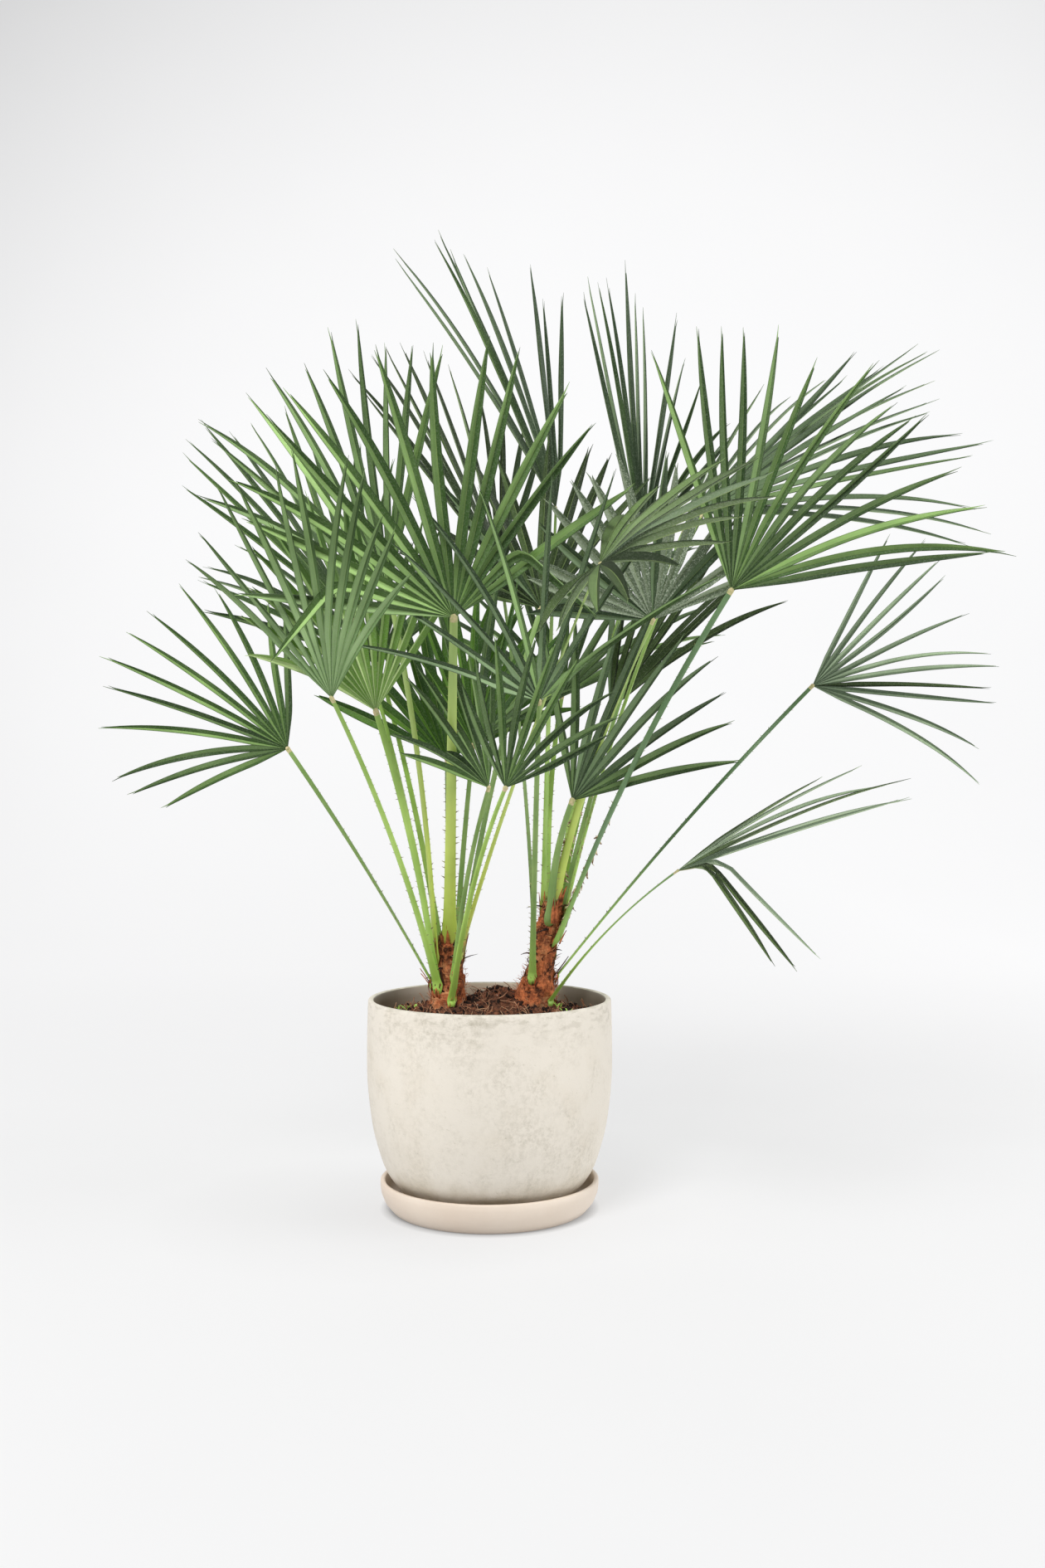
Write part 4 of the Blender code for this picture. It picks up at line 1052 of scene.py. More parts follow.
coarse_soil = turned(soil_shape(), sides=ROUND_SIDES)
grown = Grown()
grown.parts["pot"] = (coarse_pot.verts, coarse_pot.faces)
grown.parts["soil"] = (coarse_soil.verts, coarse_soil.faces)
trunks = {}
for side in TRUNKS:
    verts, faces = trunk_shape(side)
    trunks[side] = (verts, faces, tree(verts, faces))
fronds = [Frond(k, row) for k, row in enumerate(FRONDS)]
for frond in fronds:
    grown.parts["stalk_" + frond.name] = grow_stalk(frond, trunks, grown)
for side, (verts, faces, _) in trunks.items():
    grown.parts["trunk_" + side] = (verts, faces)

stalk_skin, place, shader = start_material("green stalk", Specular_IOR_Level=0.4)
height = Wire(place.net, place.node("ShaderNodeSeparateXYZ", {}, {0: place})
              .socket.node.outputs[2])
streak = place.grain(130, 3, 0.6, (1, 1, 0.12))
patch = place.grain(14, 3)
low = (1 - height.window(0.235, 0.36)) * 0.8
high = height.window(0.42, 0.68)
fresh = (patch.window(0.40, 0.62) * 0.6 + streak * 0.3).tint(STALK_GREEN, STALK_LIGHT)
feed(shader, Base_Color=low.tint((high * 0.65).tint(fresh, STALK_DEEP), STALK_FOOT),
     Roughness=streak * 0.15 + 0.34, Normal=streak.relief(0.0006, 0.5))
stalk_lime, place, shader = start_material("lime stalk", Specular_IOR_Level=0.5)
height = Wire(place.net, place.node("ShaderNodeSeparateXYZ", {}, {0: place})
              .socket.node.outputs[2])
streak = place.grain(110, 4, 0.65, (1, 1, 0.1))
patch = place.grain(18, 3)
high = height.window(0.36, 0.62)
gold = (patch.window(0.38, 0.62) * 0.6 + streak * 0.4).tint(STALK_GOLD, STALK_LIME)
feed(shader, Base_Color=(high * 0.85).tint(gold, STALK_MOSS),
     Roughness=streak * 0.15 + 0.34, Normal=streak.relief(0.0006, 0.5))
stalk_dark, place, shader = start_material("grey stalk", Specular_IOR_Level=0.4)
height = Wire(place.net, place.node("ShaderNodeSeparateXYZ", {}, {0: place})
              .socket.node.outputs[2])
streak = place.grain(130, 3, 0.6, (1, 1, 0.12))
patch = place.grain(20, 3).window(0.38, 0.62)
low = (1 - height.window(0.245, 0.330)) * 0.85
feed(shader, Base_Color=low.tint((patch * 0.6 + streak * 0.4).tint(STALK_DEEP, STALK_MOSS),
                                 STALK_FOOT),
     Roughness=streak * 0.15 + 0.38, Normal=streak.relief(0.0006, 0.5))
stalk_blue, place, shader = start_material("blue stalk", Specular_IOR_Level=0.4)
height = Wire(place.net, place.node("ShaderNodeSeparateXYZ", {}, {0: place})
              .socket.node.outputs[2])
streak = place.grain(130, 3, 0.6, (1, 1, 0.12))
patch = place.grain(20, 3).window(0.38, 0.62)
low = (1 - height.window(0.285, 0.410)) * 0.80
feed(shader, Base_Color=low.tint((patch * 0.6 + streak * 0.4).tint(STALK_BLUE, STALK_TEAL),
                                 STALK_FOOT),
     Roughness=streak * 0.15 + 0.38, Normal=streak.relief(0.0006, 0.5))
collar, place, shader = start_material("hub collar", Specular_IOR_Level=0.4)
blush = place.grain(300, 2)
feed(shader, Base_Color=blush.window(0.35, 0.65).tint((0.46, 0.46, 0.20, 1), HUB_CREAM),
     Roughness=blush * 0.2 + 0.45, Normal=blush.relief(0.0003, 0.4))
thorn, place, shader = start_material("spine", Specular_IOR_Level=0.4)
fade = place.grain(90, 2)
feed(shader, Base_Color=fade.window(0.36, 0.64).tint(SPINE_BROWN, (0.42, 0.40, 0.17, 1)),
     Roughness=fade * 0.2 + 0.4, Normal=place.grain(900, 2).relief(0.0002, 0.3))

STALK_LOOKS = {"left_01": "grey", "left_07": "grey", "left_08": "grey", "left_09": "grey",
               "left_10": "grey", "right_01": "grey", "right_02": "grey", "right_04": "grey",
               "right_08": "grey", "left_05": "lime", "left_06": "lime", "left_12": "lime",
               "right_05": "lime", "right_10": "blue", "right_11": "blue", "right_12": "blue"}
for side in TRUNKS:
    for look, skin in (("green", stalk_skin), ("lime", stalk_lime), ("grey", stalk_dark),
                       ("blue", stalk_blue)):
        stalks, points = Shape(), []
        rng = random.Random(41 + len(side) * 3 + len(look))
        own = [f for f in fronds if f.side == side and STALK_LOOKS.get(f.name, "green") == look]
        if not own:
            continue
        for frond in own:
            at, end = fine_stalk(stalks, frond)
            spine_places(points, frond, at, end, rng)
        made = stalks.piece("stalks_%s_%s" % (look, side), [skin, collar])
        made.data.set_sharp_from_angle(angle=math.radians(55))
        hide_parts(*["stalk_" + frond.name for frond in own])
        ground = bpy.data.meshes.new("spine_points")
        ground.from_pydata([tuple(p) for p, _, _ in points], [], [])
        ground.attributes.new("out", "FLOAT_VECTOR", "POINT").data.foreach_set(
            "vector", [c for _, out, _ in points for c in out])
        ground.attributes.new("size", "FLOAT", "POINT").data.foreach_set(
            "value", [size for _, _, size in points])
        spines = grow("spines_%s_%s" % (look, side), ground, spine_net(thorn), Slimness=0.17)

tongues = Shape()
for frond in fronds:
    at, end, _ = stalk_frame(frond, frond.base, frond.sway)
    rng = random.Random(frond.seed)
    at_top = frond.base.z - SOIL_TOP > TRUNKS[frond.side][2] - 0.02
    core, girth = bark_at(frond.side, frond.base.z - SOIL_TOP - SEAT)
    out = Vector((frond.base.x - core.x, frond.base.y - core.y, 0)).normalized()
    for _ in range(0 if at_top else 9):
        level = frond.base.z - SOIL_TOP - SEAT - rng.uniform(0.006, 0.017)
        if level > 0.002:
            core, girth = bark_at(frond.side, level)
            lean = rng.uniform(-0.35, 0.35)
            aside = out.cross(UP)
            away = (out * math.cos(lean) + aside * math.sin(lean))
            long = rng.uniform(0.006, 0.014)
            path = [core + away * (girth + 0.0002 + 0.0035 * math.sin(2.2 * t)) + UP * long * t
                    + aside * rng.uniform(-0.0015, 0.0015) * t for t in (0, 0.3, 0.6, 0.85, 1)]
            wide = rng.uniform(0.0008, 0.0030)
            add_strip(tongues, path, [away] * 5, [wide, wide, wide * 0.7, wide * 0.4, wide * 0.1],
                      0.0006, rng.choice((0, 0, 0, 1)))
    for _ in range(9 if at_top else 2):
        p, s, u, half = at(rng.uniform(0.0, 0.012))
        shift = s * half * rng.uniform(-1.2, 1.2) - u * half * rng.uniform(-1.0, 1.0)
        long = rng.uniform(0.016, 0.034)
        axis = (at(0.06)[0] - at(0)[0]).normalized()
        path = [p + shift - axis * 0.010 + axis * long * t + shift * t * t * 0.5
                for t in (0, 0.3, 0.6, 0.85, 1)]
        wide = half * rng.uniform(0.35, 0.95)
        add_strip(tongues, path, [-u] * 5, [wide, wide, wide * 0.7, wide * 0.35, wide * 0.08],
                  0.0007, rng.choice((0, 0, 1)))
sheaths = tongues.piece("fibre_sheaths", [red_fibre, dry])

# Shreds: what is left of dead sheaths, papery and tan, torn loose along the edges
# of three stalks of the right trunk and still hanging on to them.
torn, place, shader = start_material("torn sheath", Specular_IOR_Level=0.2)
stain = place.grain(240, 4)
feed(shader, Base_Color=stain.window(0.42, 0.60).tint((0.16, 0.08, 0.04, 1),
                                                      (0.80, 0.68, 0.45, 1)),
     Roughness=stain * 0.2 + 0.7, Normal=stain.relief(0.0005, 0.6))
shreds = Shape()
rng = random.Random(12)
for frond in fronds:
    if frond.name in ("right_05", "right_10", "right_09"):
        at, end, _ = stalk_frame(frond, frond.base, frond.sway)
        for k in range(26):
            p, s, u, half = at(rng.uniform(0.03, 0.34))
            ahead = u.cross(s)
            hand = rng.choice((-1, 1))
            long = rng.uniform(0.004, 0.012)
            aim = (ahead * rng.uniform(0.4, 1.2) + s * hand * rng.uniform(0.0, 0.35)).normalized()
            curl = s * hand * rng.uniform(-0.2, 0.6) - ahead * rng.uniform(0, 0.4)
            path = [p + s * hand * half * 0.97 + (aim * t + curl * t * t) * long
                    for t in (0, 0.3, 0.6, 0.85, 1)]
            wide = rng.uniform(0.0008, 0.0026)
            add_strip(shreds, path, [-u] * 5, [wide * 0.6, wide, wide, wide * 0.7, wide * 0.2],
                      0.0004)
papery = shreds.piece("torn_sheaths", [torn])

# Sprouts: a few seedlings of a weed with thin bright leaves, that came up in the
# soil near the wall of the pot on both sides.
sprouts = Shape()
rng = random.Random(23)
for x, y, count in ((-0.104, 0.030, 8), (-0.090, 0.018, 6), (0.078, 0.002, 7), (0.088, -0.006, 5)):
    for _ in range(count):
        px, py = x + rng.uniform(-0.006, 0.006), y + rng.uniform(-0.005, 0.005)
        lean = Vector((rng.uniform(-0.9, 0.9), rng.uniform(-0.9, 0.9), rng.uniform(0.7, 1.3)))
        long = rng.uniform(0.009, 0.018)
        foot = Vector((px, py, soil_height(px, py) - 0.001))
        path = [foot + lean.normalized() * long * t - Vector((0, 0, long * 0.35 * t * t))
                for t in (0, 0.3, 0.6, 0.85, 1)]
        side = lean.cross(Vector((0, 0, 1))).normalized().cross(lean).normalized()
        add_strip(sprouts, path, [side] * 5, [0.0005, 0.0007, 0.0016, 0.0013, 0.0003], 0.0003)
weeds = sprouts.piece("sprouts", [stalk_skin])


# Fans: each leaf blade is folded like a paper fan and joined round its hub, and
# beyond that it is cut into stiff leaflets, ribbed in the fold, with split tips.
ROWS = ((0.45, 1.20), (0.76, 0.80))
SIDE_ROOM = 0.76
KINK_CUT = 0.6
FALL_AHEAD = 0.75
FALL_OUT = 0.20
FALL_SHORT = 0.85
ROOT_STEP = 0.002
ROOT_WIDE = 0.9
LEANS = (0, 7, -7, 14, -14, 21, -21, 30, -30, 40, -40)
CUTS = (1.0, 0.93, 0.85, 0.76, 0.66, 0.56, 0.48)
NUDGES = ((0, 0), (0.04, 0), (-0.04, 0), (0, 0.07), (0, -0.07), (0.04, 0.07), (-0.04, 0.07),
          (0.04, -0.07), (-0.04, -0.07), (0, 0.14), (0, -0.14), (0.08, 0.05), (-0.08, 0.05),
          (0.08, -0.05), (-0.08, -0.05), (0.04, 0.2), (-0.04, 0.2), (0.04, -0.2), (-0.04, -0.2))
STUB_SHARE = 0.42
STUB_REACH = 1.35
ROW_STEP = 0.12
DRIFT_CURVE = 1.2
ANGLE_PLAY = 0.10
CUP_PLAY = 1.5
LENGTH_PLAY = (0.93, 1.05)
SAG_PLAY = (0.5, 1.5)
DRIFT = 0.035
LIFT = 0.05
JOINED_ROWS = 5
FREE_ROWS = 15
JOINED_SHARE = 0.19
LEAF_FOLD = 0.85
LEAF_SLIM = {"right_01": 0.70, "left_11": 0.85, "left_09": 1.20, "left_08": 1.12,
             "left_07": 1.12, "left_10": 1.08, "right_11": 0.85, "right_12": 0.80}
PALE_BELOW = (0.670, 0.760)
LEAF_SWELL = 0.30
LEAF_BLUNT = 2.7
LEAF_FREE = 0.94
LEAF_ROOM = 0.93
LEAF_ROLL = math.radians(28)
LEAF_ARCH = (-0.02, 0.22)
LEAF_BEND = 0.085
LEAF_THICK = 0.0007
KNEE_ROUND = 0.07
RIB_WIDTH = 0.0009
TIP_SPLIT = (0.90, 0.975)
UNDER_OUT = ("left_02", "left_04")
TONES = {"left_01": "fresh", "left_02": "mid", "left_03": "fresh", "left_04": "lime",
         "left_05": "fresh", "left_06": "mid", "left_07": "vivid", "left_08": "vivid",
         "left_09": "deep", "left_10": "mid", "left_11": "mid", "left_12": "deep",
         "left_13": "mid", "right_01": "dull", "right_02": "deep", "right_03": "dull",
         "right_04": "dull", "right_05": "frost", "right_06": "deep", "right_07": "dull",
         "right_08": "dull", "right_09": "dull", "right_10": "mid", "right_11": "blue",
         "right_12": "blue", "right_13": "mid"}
GREENS = {"lime": ((0.170, 0.280, 0.050, 1), (0.380, 0.550, 0.130, 1)),
          "vivid": ((0.028, 0.080, 0.010, 1), (0.215, 0.445, 0.057, 1)),
          "fresh": ((0.041, 0.090, 0.021, 1), (0.465, 0.715, 0.245, 1)),
          "mid": ((0.025, 0.055, 0.015, 1), (0.335, 0.515, 0.200, 1)),
          "dull": ((0.031, 0.057, 0.025, 1), (0.320, 0.465, 0.240, 1)),
          "deep": ((0.015, 0.028, 0.009, 1), (0.180, 0.280, 0.095, 1)),
          "blue": ((0.095, 0.140, 0.082, 1), (0.600, 0.760, 0.500, 1)),
          "frost": ((0.135, 0.180, 0.112, 1), (0.460, 0.550, 0.370, 1))}
NEAR_TONE = {"lime": "fresh", "vivid": "mid", "fresh": "mid", "mid": "fresh", "dull": "mid",
             "deep": "dull", "blue": "deep", "frost": "dull"}
RIB_PALE = (0.330, 0.440, 0.160, 1)
FROST = (0.480, 0.540, 0.420, 1)


class Leaflet:
    """Course of one leaflet: straight from the hub, then drooping or bent."""

    def __init__(self, frond, index, rng):
        share = 2 * index / (frond.count - 1) - 1
        step = math.radians(frond.spread) / frond.count
        wide = step * (frond.count - 1) / 2
        self.angle = share * wide + step * ANGLE_PLAY * rng.uniform(-1, 1)
        cup = math.radians(frond.cup * abs(share) + rng.uniform(-CUP_PLAY, CUP_PLAY))
        flat = frond.ahead * math.cos(self.angle) + frond.across * math.sin(self.angle)
        self.go = (flat * math.cos(cup) + frond.face * math.sin(cup)).normalized()
        self.face = square_to(frond.face, self.go)
        self.side = self.face.cross(self.go)
        self.length = frond.reach * (1 - frond.short * share * share) * rng.uniform(*LENGTH_PLAY)
        self.sag = frond.sag * rng.uniform(*SAG_PLAY)
        self.hub, self.join = frond.hub, frond.join
        self.knee = dict(frond.bent).get(index, 0.0)
        self.drift, self.rise = DRIFT * rng.uniform(-1, 1), LIFT * rng.uniform(-1, 1)
        self.cut, self.yaw, self.lift = 1.0, 0.0, 0.0

    def point(self, t):
        """Point at a share t of the length, 0 at the hub and 1 at the tip."""
        reach = self.length * self.cut
        free = max(0.0, t - self.join / reach)
        p = self.hub + self.go * reach * t
        p += self.side * (self.yaw + self.drift) * reach * free ** DRIFT_CURVE
        p += self.face * (self.lift + self.rise) * reach * free ** DRIFT_CURVE
        drop = -UP + self.go * self.go.z
        p += drop * self.sag * reach * free * free
        if self.knee and self.cut > KINK_CUT and t > self.knee:
            fall = (-UP + self.go * FALL_AHEAD + self.face * FALL_OUT).normalized()
            p = self.point(self.knee) + fall * reach * (t - self.knee) * FALL_SHORT
        return p

    def course(self, rows):
        """Rows of (point, side, upper, half width) from the join to the tip."""
        reach = self.length * self.cut
        shares = [self.join / reach] + [max(r, self.join / reach + ROW_STEP * (k + 1))
                                        for k, (r, _) in enumerate(rows)] + [1.0]
        pts = [self.point(t) for t in shares]
        out, side, before = [], self.side.copy(), self.go.copy()
        for k, p in enumerate(pts):
            one = pts[k] - pts[k - 1] if k else self.go
            two = pts[k + 1] - pts[k] if k + 1 < len(pts) else one
            along = (one.normalized() + two.normalized()).normalized() if k else self.go
            side = before.rotation_difference(along) @ side
            before = along
            out.append((p, side.copy(), along.cross(side)))
        return out


def fan_rows(frond, leaflet, rows, pad=0.0):
    """The four corners of each free row of a leaflet, and its tip."""
    half = leaflet.join * math.tan(math.radians(frond.spread) / frond.count / 2)
    got = leaflet.course(rows)
    corners = []
    for (p, side, upper), (_, share) in zip(got[1:-1], rows):
        room = (p - frond.hub).length * half / leaflet.join
        w = min(half * share, room * SIDE_ROOM) + pad
        t = frond.thick * (THIN_TIP + (1 - THIN_TIP) * min(1.0, share)) / 2 + pad
        up = upper if upper.dot(leaflet.face) > 0 or leaflet.knee else -upper
        edge = up * (PLEAT * w)
        corners.append((p - side * w + edge, p + up * t, p + side * w + edge, p - up * t))
    return corners, got[-1][0] + (got[-1][0] - got[-2][0]).normalized() * pad


def join_points(frond, leaflets):
    """Directions of the pleat lines between the leaflets, ends included."""
    step = math.radians(frond.spread) / frond.count
    lines = []
    for k in range(frond.count + 1):
        if k == 0:
            one = leaflets[0]
            go = one.go * math.cos(step / 2) - one.side * math.sin(step / 2)
            face = one.face
        elif k == frond.count:
            one = leaflets[-1]
            go = one.go * math.cos(step / 2) + one.side * math.sin(step / 2)
            face = one.face
        else:
            go = (leaflets[k - 1].go + leaflets[k].go).normalized()
            face = (leaflets[k - 1].face + leaflets[k].face).normalized()
        lines.append((go, square_to(face, go)))
    return lines


def fan_mesh(frond, leaflets, rows):
    """The whole blade as one closed body."""
    verts, faces = [], []
    n, t = frond.count, frond.thick / 2
    ridge = PLEAT * frond.join * math.tan(math.radians(frond.spread) / n / 2)

    def put(*points):
        verts.extend(points)
        return list(range(len(verts) - len(points), len(verts)))

    inner, outer, mids = [], [], []
    for go, face in join_points(frond, leaflets):
        p = frond.hub + go * (frond.neck_w / 2 + HUB_GAP)
        inner.append(put(p + face * t, p - face * t))
        p = frond.hub + go * frond.join + face * ridge
        outer.append(put(p + face * t * THIN_JOIN, p - face * t * THIN_JOIN))
    for one in leaflets:
        p = frond.hub + one.go * frond.join
        mids.append(put(p + one.face * t, p - one.face * t))
    faces.append((inner[0][0], outer[0][0], outer[0][1], inner[0][1]))
    faces.append((inner[n][0], inner[n][1], outer[n][1], outer[n][0]))
    for k, one in enumerate(leaflets):
        (at, ab), (bt, bb) = inner[k], inner[k + 1]
        (jt, jb), (kt, kb) = outer[k], outer[k + 1]
        ct, cb = mids[k]
        faces += [(at, ab, bb, bt), (at, bt, ct), (bt, kt, ct), (at, ct, jt),
                  (ab, cb, bb), (bb, cb, kb), (ab, jb, cb)]
        corners, tip = fan_rows(frond, one, rows)
        ring = put(*corners[0])
        left, top, right, low = ring
        faces += [(jt, ct, top, left), (ct, kt, right, top), (jb, left, low, cb),
                  (cb, low, right, kb), (jt, left, jb), (kt, kb, right)]
        for row in corners[1:]:
            after = put(*row)
            for a, b in ((0, 1), (1, 2), (2, 3), (3, 0)):
                faces.append((ring[a], ring[b], after[b], after[a]))
            ring = after
        end = put(tip)[0]
        for a, b in ((0, 1), (1, 2), (2, 3), (3, 0)):
            faces.append((ring[a], ring[b], end))
    return verts, faces


def leaflet_body(frond, leaflet, rows, pad):
    """The free part of one leaflet beyond its root, a little swollen."""
    corners, tip = fan_rows(frond, leaflet, rows, pad)
    half = frond.wide / 2
    root = leaflet.hub + leaflet.go * (leaflet.join + ROOT_STEP)
    t = frond.thick / 2 + pad
    edge = leaflet.face * PLEAT * half
    verts = [root - leaflet.side * half * ROOT_WIDE + edge, root + leaflet.face * t,
             root + leaflet.side * half * ROOT_WIDE + edge, root - leaflet.face * t]
    for row in corners:
        verts += list(row)
    verts.append(tip)
    end = len(corners) * 4
    faces = [(j + a, j + b, j + 4 + b, j + 4 + a)
             for j in range(0, end, 4) for a, b in ((0, 1), (1, 2), (2, 3), (3, 0))]
    faces += [(end + a, end + b, end + 4) for a, b in ((0, 1), (1, 2), (2, 3), (3, 0))]
    return verts, faces


def root_body(frond, leaflet, lines, rows, pad):
    """The root of one leaflet, from the joined middle to its first row."""
    ridge = PLEAT * frond.join * math.tan(math.radians(frond.spread) / frond.count / 2)
    verts = []
    for go, face in lines:
        p = frond.hub + go * frond.join + face * ridge
        t = frond.thick * THIN_JOIN / 2 + pad
        verts += [p + face * t, p - face * t]
    p = frond.hub + leaflet.go * frond.join
    t = frond.thick / 2 + pad
    verts += [p + leaflet.face * t, p - leaflet.face * t]
    verts += list(fan_rows(frond, leaflet, rows, pad)[0][0])
    faces = [(0, 4, 7, 6), (4, 2, 8, 7), (1, 6, 9, 5), (5, 9, 8, 3), (0, 6, 1), (2, 3, 8)]
    return verts, faces


def palm_body(frond, leaflets, rows):
    """The joined middle of a blade with stubs for leaflets, for testing."""
    for one in leaflets:
        one.cut = max(STUB_SHARE, frond.join * STUB_REACH / one.length)
    frond.thick += 2 * ROOM
    verts, faces = fan_mesh(frond, leaflets, rows)
    frond.thick -= 2 * ROOM
    return verts, faces


def lay_palm(frond, grown):
    """Turn the joined middle of a blade until it is clear of all others."""
    around = grown.around()
    for lean in LEANS:
        start = (frond.face.copy(), frond.across.copy())
        frond.lean(math.radians(lean))
        rng = random.Random(frond.seed)
        frond.leaflets = [Leaflet(frond, k, rng) for k in range(frond.count)]
        body = palm_body(frond, frond.leaflets, ROWS)
        if not tree(*body).overlap(around):
            return body
        frond.face, frond.across = start
    raise ValueError("no room for the fan of " + frond.name)


def grow_leaflets(frond, around):
    """Let each leaflet out as far as it goes without meeting anything."""
    placed = None
    lines = join_points(frond, frond.leaflets)
    for k, one in enumerate(frond.leaflets):
        stub = one.cut
        found = False
        for cut in CUTS:
            if found or one.length * cut < frond.join * STUB_REACH:
                break
            for yaw, lift in NUDGES:
                one.cut, one.yaw, one.lift = cut, yaw, lift
                body = tree(*leaflet_body(frond, one, ROWS, ROOM))
                if body.overlap(around) or (placed and body.overlap(placed)):
                    continue
                root = tree(*root_body(frond, one, lines[k:k + 2], ROWS, ROOM))
                if not root.overlap(around):
                    found = True
                    break
        if not found:
            one.cut, one.yaw, one.lift = stub, 0.0, 0.0
        placed = tree(*leaflet_body(frond, one, ROWS, 0.0))


def leaf_material(name, deep, light, bloom, above=None):
    """Leaf green with fine veins along it, a pale rib in the fold and some bloom, with painted
    light and shade: one half of each leaflet lit and the other shaded, leaves further back darker
    and darker pleat edges;
    above, when given, is the deep and light green it turns to higher up, while the pale colour
    below is the underside's own paler colour brightened as painted light shining through the leaf."""
    made, place, shader = start_material(name, Specular_IOR_Level=0.22)
    laid = place.node("ShaderNodeTexCoord", out=2)
    side = place.node("ShaderNodeSeparateXYZ", {}, {0: laid})
    across = side.node("ShaderNodeMath", {"operation": "ABSOLUTE"}, {0: side})
    veins = laid.grain(1.0, 3, 0.6, (9.0, 1.2, 1.0))
    patch = place.grain(11, 3)
    mood = laid.grain(0.02, 1)
    rib = 1 - across.window(0.02, 0.12)
    dust = place.grain(560, 3, 0.7).window(0.51, 0.60)
    # Painted light and shade: one half blade, by the sign of its laid x, is painted lighter and the
    # other darker.
    lit = side.window(-0.05, 0.05)
    shade = veins * 0.25 + patch.window(0.35, 0.65) * 0.2 + mood.window(0.38, 0.62) * 0.3
    shade = shade.window(0.20, 0.60) * 0.48 + lit * 0.52
    shade = shade * shade
    green = shade.tint(deep, light)
    where = place.node("ShaderNodeSeparateXYZ", {}, {0: place})
    # Painted shade: leaves further back in the crown are darkened toward the deep green.
    painted_back_shade = Wire(place.net, where.socket.node.outputs[1]).window(-0.05, 0.20) * 0.50
    green = painted_back_shade.tint(green, deep)
    # Below PALE_BELOW the pale colour stays: the underside's own paler colour, brightened as
    # painted light shining through the leaf.
    if above:
        height = Wire(place.net, where.socket.node.outputs[2])
        out = (height + mood * 0.03 + patch * 0.03).window(*PALE_BELOW)
        green = out.tint(green, shade.tint(*above))
        bloom = (1 - out) * bloom
    # Painted shade: the outer edges of each half blade, in the pleats between leaflets, are
    # darkened.
    painted_pleat_shade = across.window(0.80, 1.0) * 0.5
    green = painted_pleat_shade.tint(green, tuple(c * 0.4 for c in deep[:3]) + (1,))
    feed(shader, Base_Color=(rib * 0.7).tint((dust * bloom).tint(green, FROST), RIB_PALE),
         Roughness=veins * 0.15 + 0.40 + dust * 0.15,
         Normal=(veins * 0.7 + dust * 0.1).relief(0.0006, 0.5))
    return made


def add_ribbon(shape, rows, thick, kinds):
    """A thin closed strip of rows of points with their upper side; kinds are for
    its upper and under face."""
    over, under = [], []
    for k, (points, up, flats) in enumerate(rows):
        t = thick * (0.5 if k < len(rows) - 1 else 0.2)
        over.append(shape.put([p + up * t for p in points], flats))
        under.append(shape.put([p - up * t for p in points], flats))
    first = rows[0][0]
    ahead = rows[1][0][0] - first[0]
    flip = ahead.cross(first[-1] - first[0]).dot(rows[0][1]) < 0
    count = len(first)

    def face(corners, kind):
        shape.face(corners[::-1] if flip else corners, kind)

    for (a, b), (c, d) in zip(zip(over, over[1:]), zip(under, under[1:])):
        for j in range(count - 1):
            face((a[j], b[j], b[j + 1], a[j + 1]), kinds[0])
            face((c[j], c[j + 1], d[j + 1], d[j]), kinds[1])
        face((a[0], c[0], d[0], b[0]), kinds[0])
        face((a[-1], b[-1], d[-1], c[-1]), kinds[0])
    for j in range(count - 1):
        face((over[0][j], over[0][j + 1], under[0][j + 1], under[0][j]), kinds[0])
        face((over[-1][j], under[-1][j], under[-1][j + 1], over[-1][j + 1]), kinds[0])


def leaflet_spine(one, shares, roll, arch, bend):
    """Centre, side, upper side and heading at each share of a leaflet's length."""
    drop = (-UP + one.go * one.go.z) * arch * one.length * one.cut
    pts = []
    for t in shares:
        p = one.point(t)
        if one.knee:
            p = (one.point(t - KNEE_ROUND) + p + one.point(t + KNEE_ROUND)) / 3
        free = max(0.0, t - JOINED_SHARE)
        pts.append(p + drop * free ** 3 + one.side * bend * one.length * one.cut * free ** 2)
    out, side, before = [], one.side.copy(), one.go.copy()
    for k, p in enumerate(pts):
        ahead = pts[min(k + 1, len(pts) - 1)] - pts[max(k - 1, 0)]
        along = ahead.normalized()
        side = before.rotation_difference(along) @ side
        before = along
        free = min(1.0, max(0.0, shares[k] - JOINED_SHARE) / 0.4)
        turn = roll * free * free * (3 - 2 * free)
        rolled = side * math.cos(turn) + along.cross(side) * math.sin(turn)
        out.append((p, rolled, along.cross(rolled), along))
    return out


def blade_half(s, half):
    """Half width at a share of the free part: it swells a little, then tapers off."""
    narrow = 1 - (1 - LEAF_FREE) * min(1.0, s / 0.15)
    return half * narrow * (1 + LEAF_SWELL * s) * (1 - s ** LEAF_BLUNT)


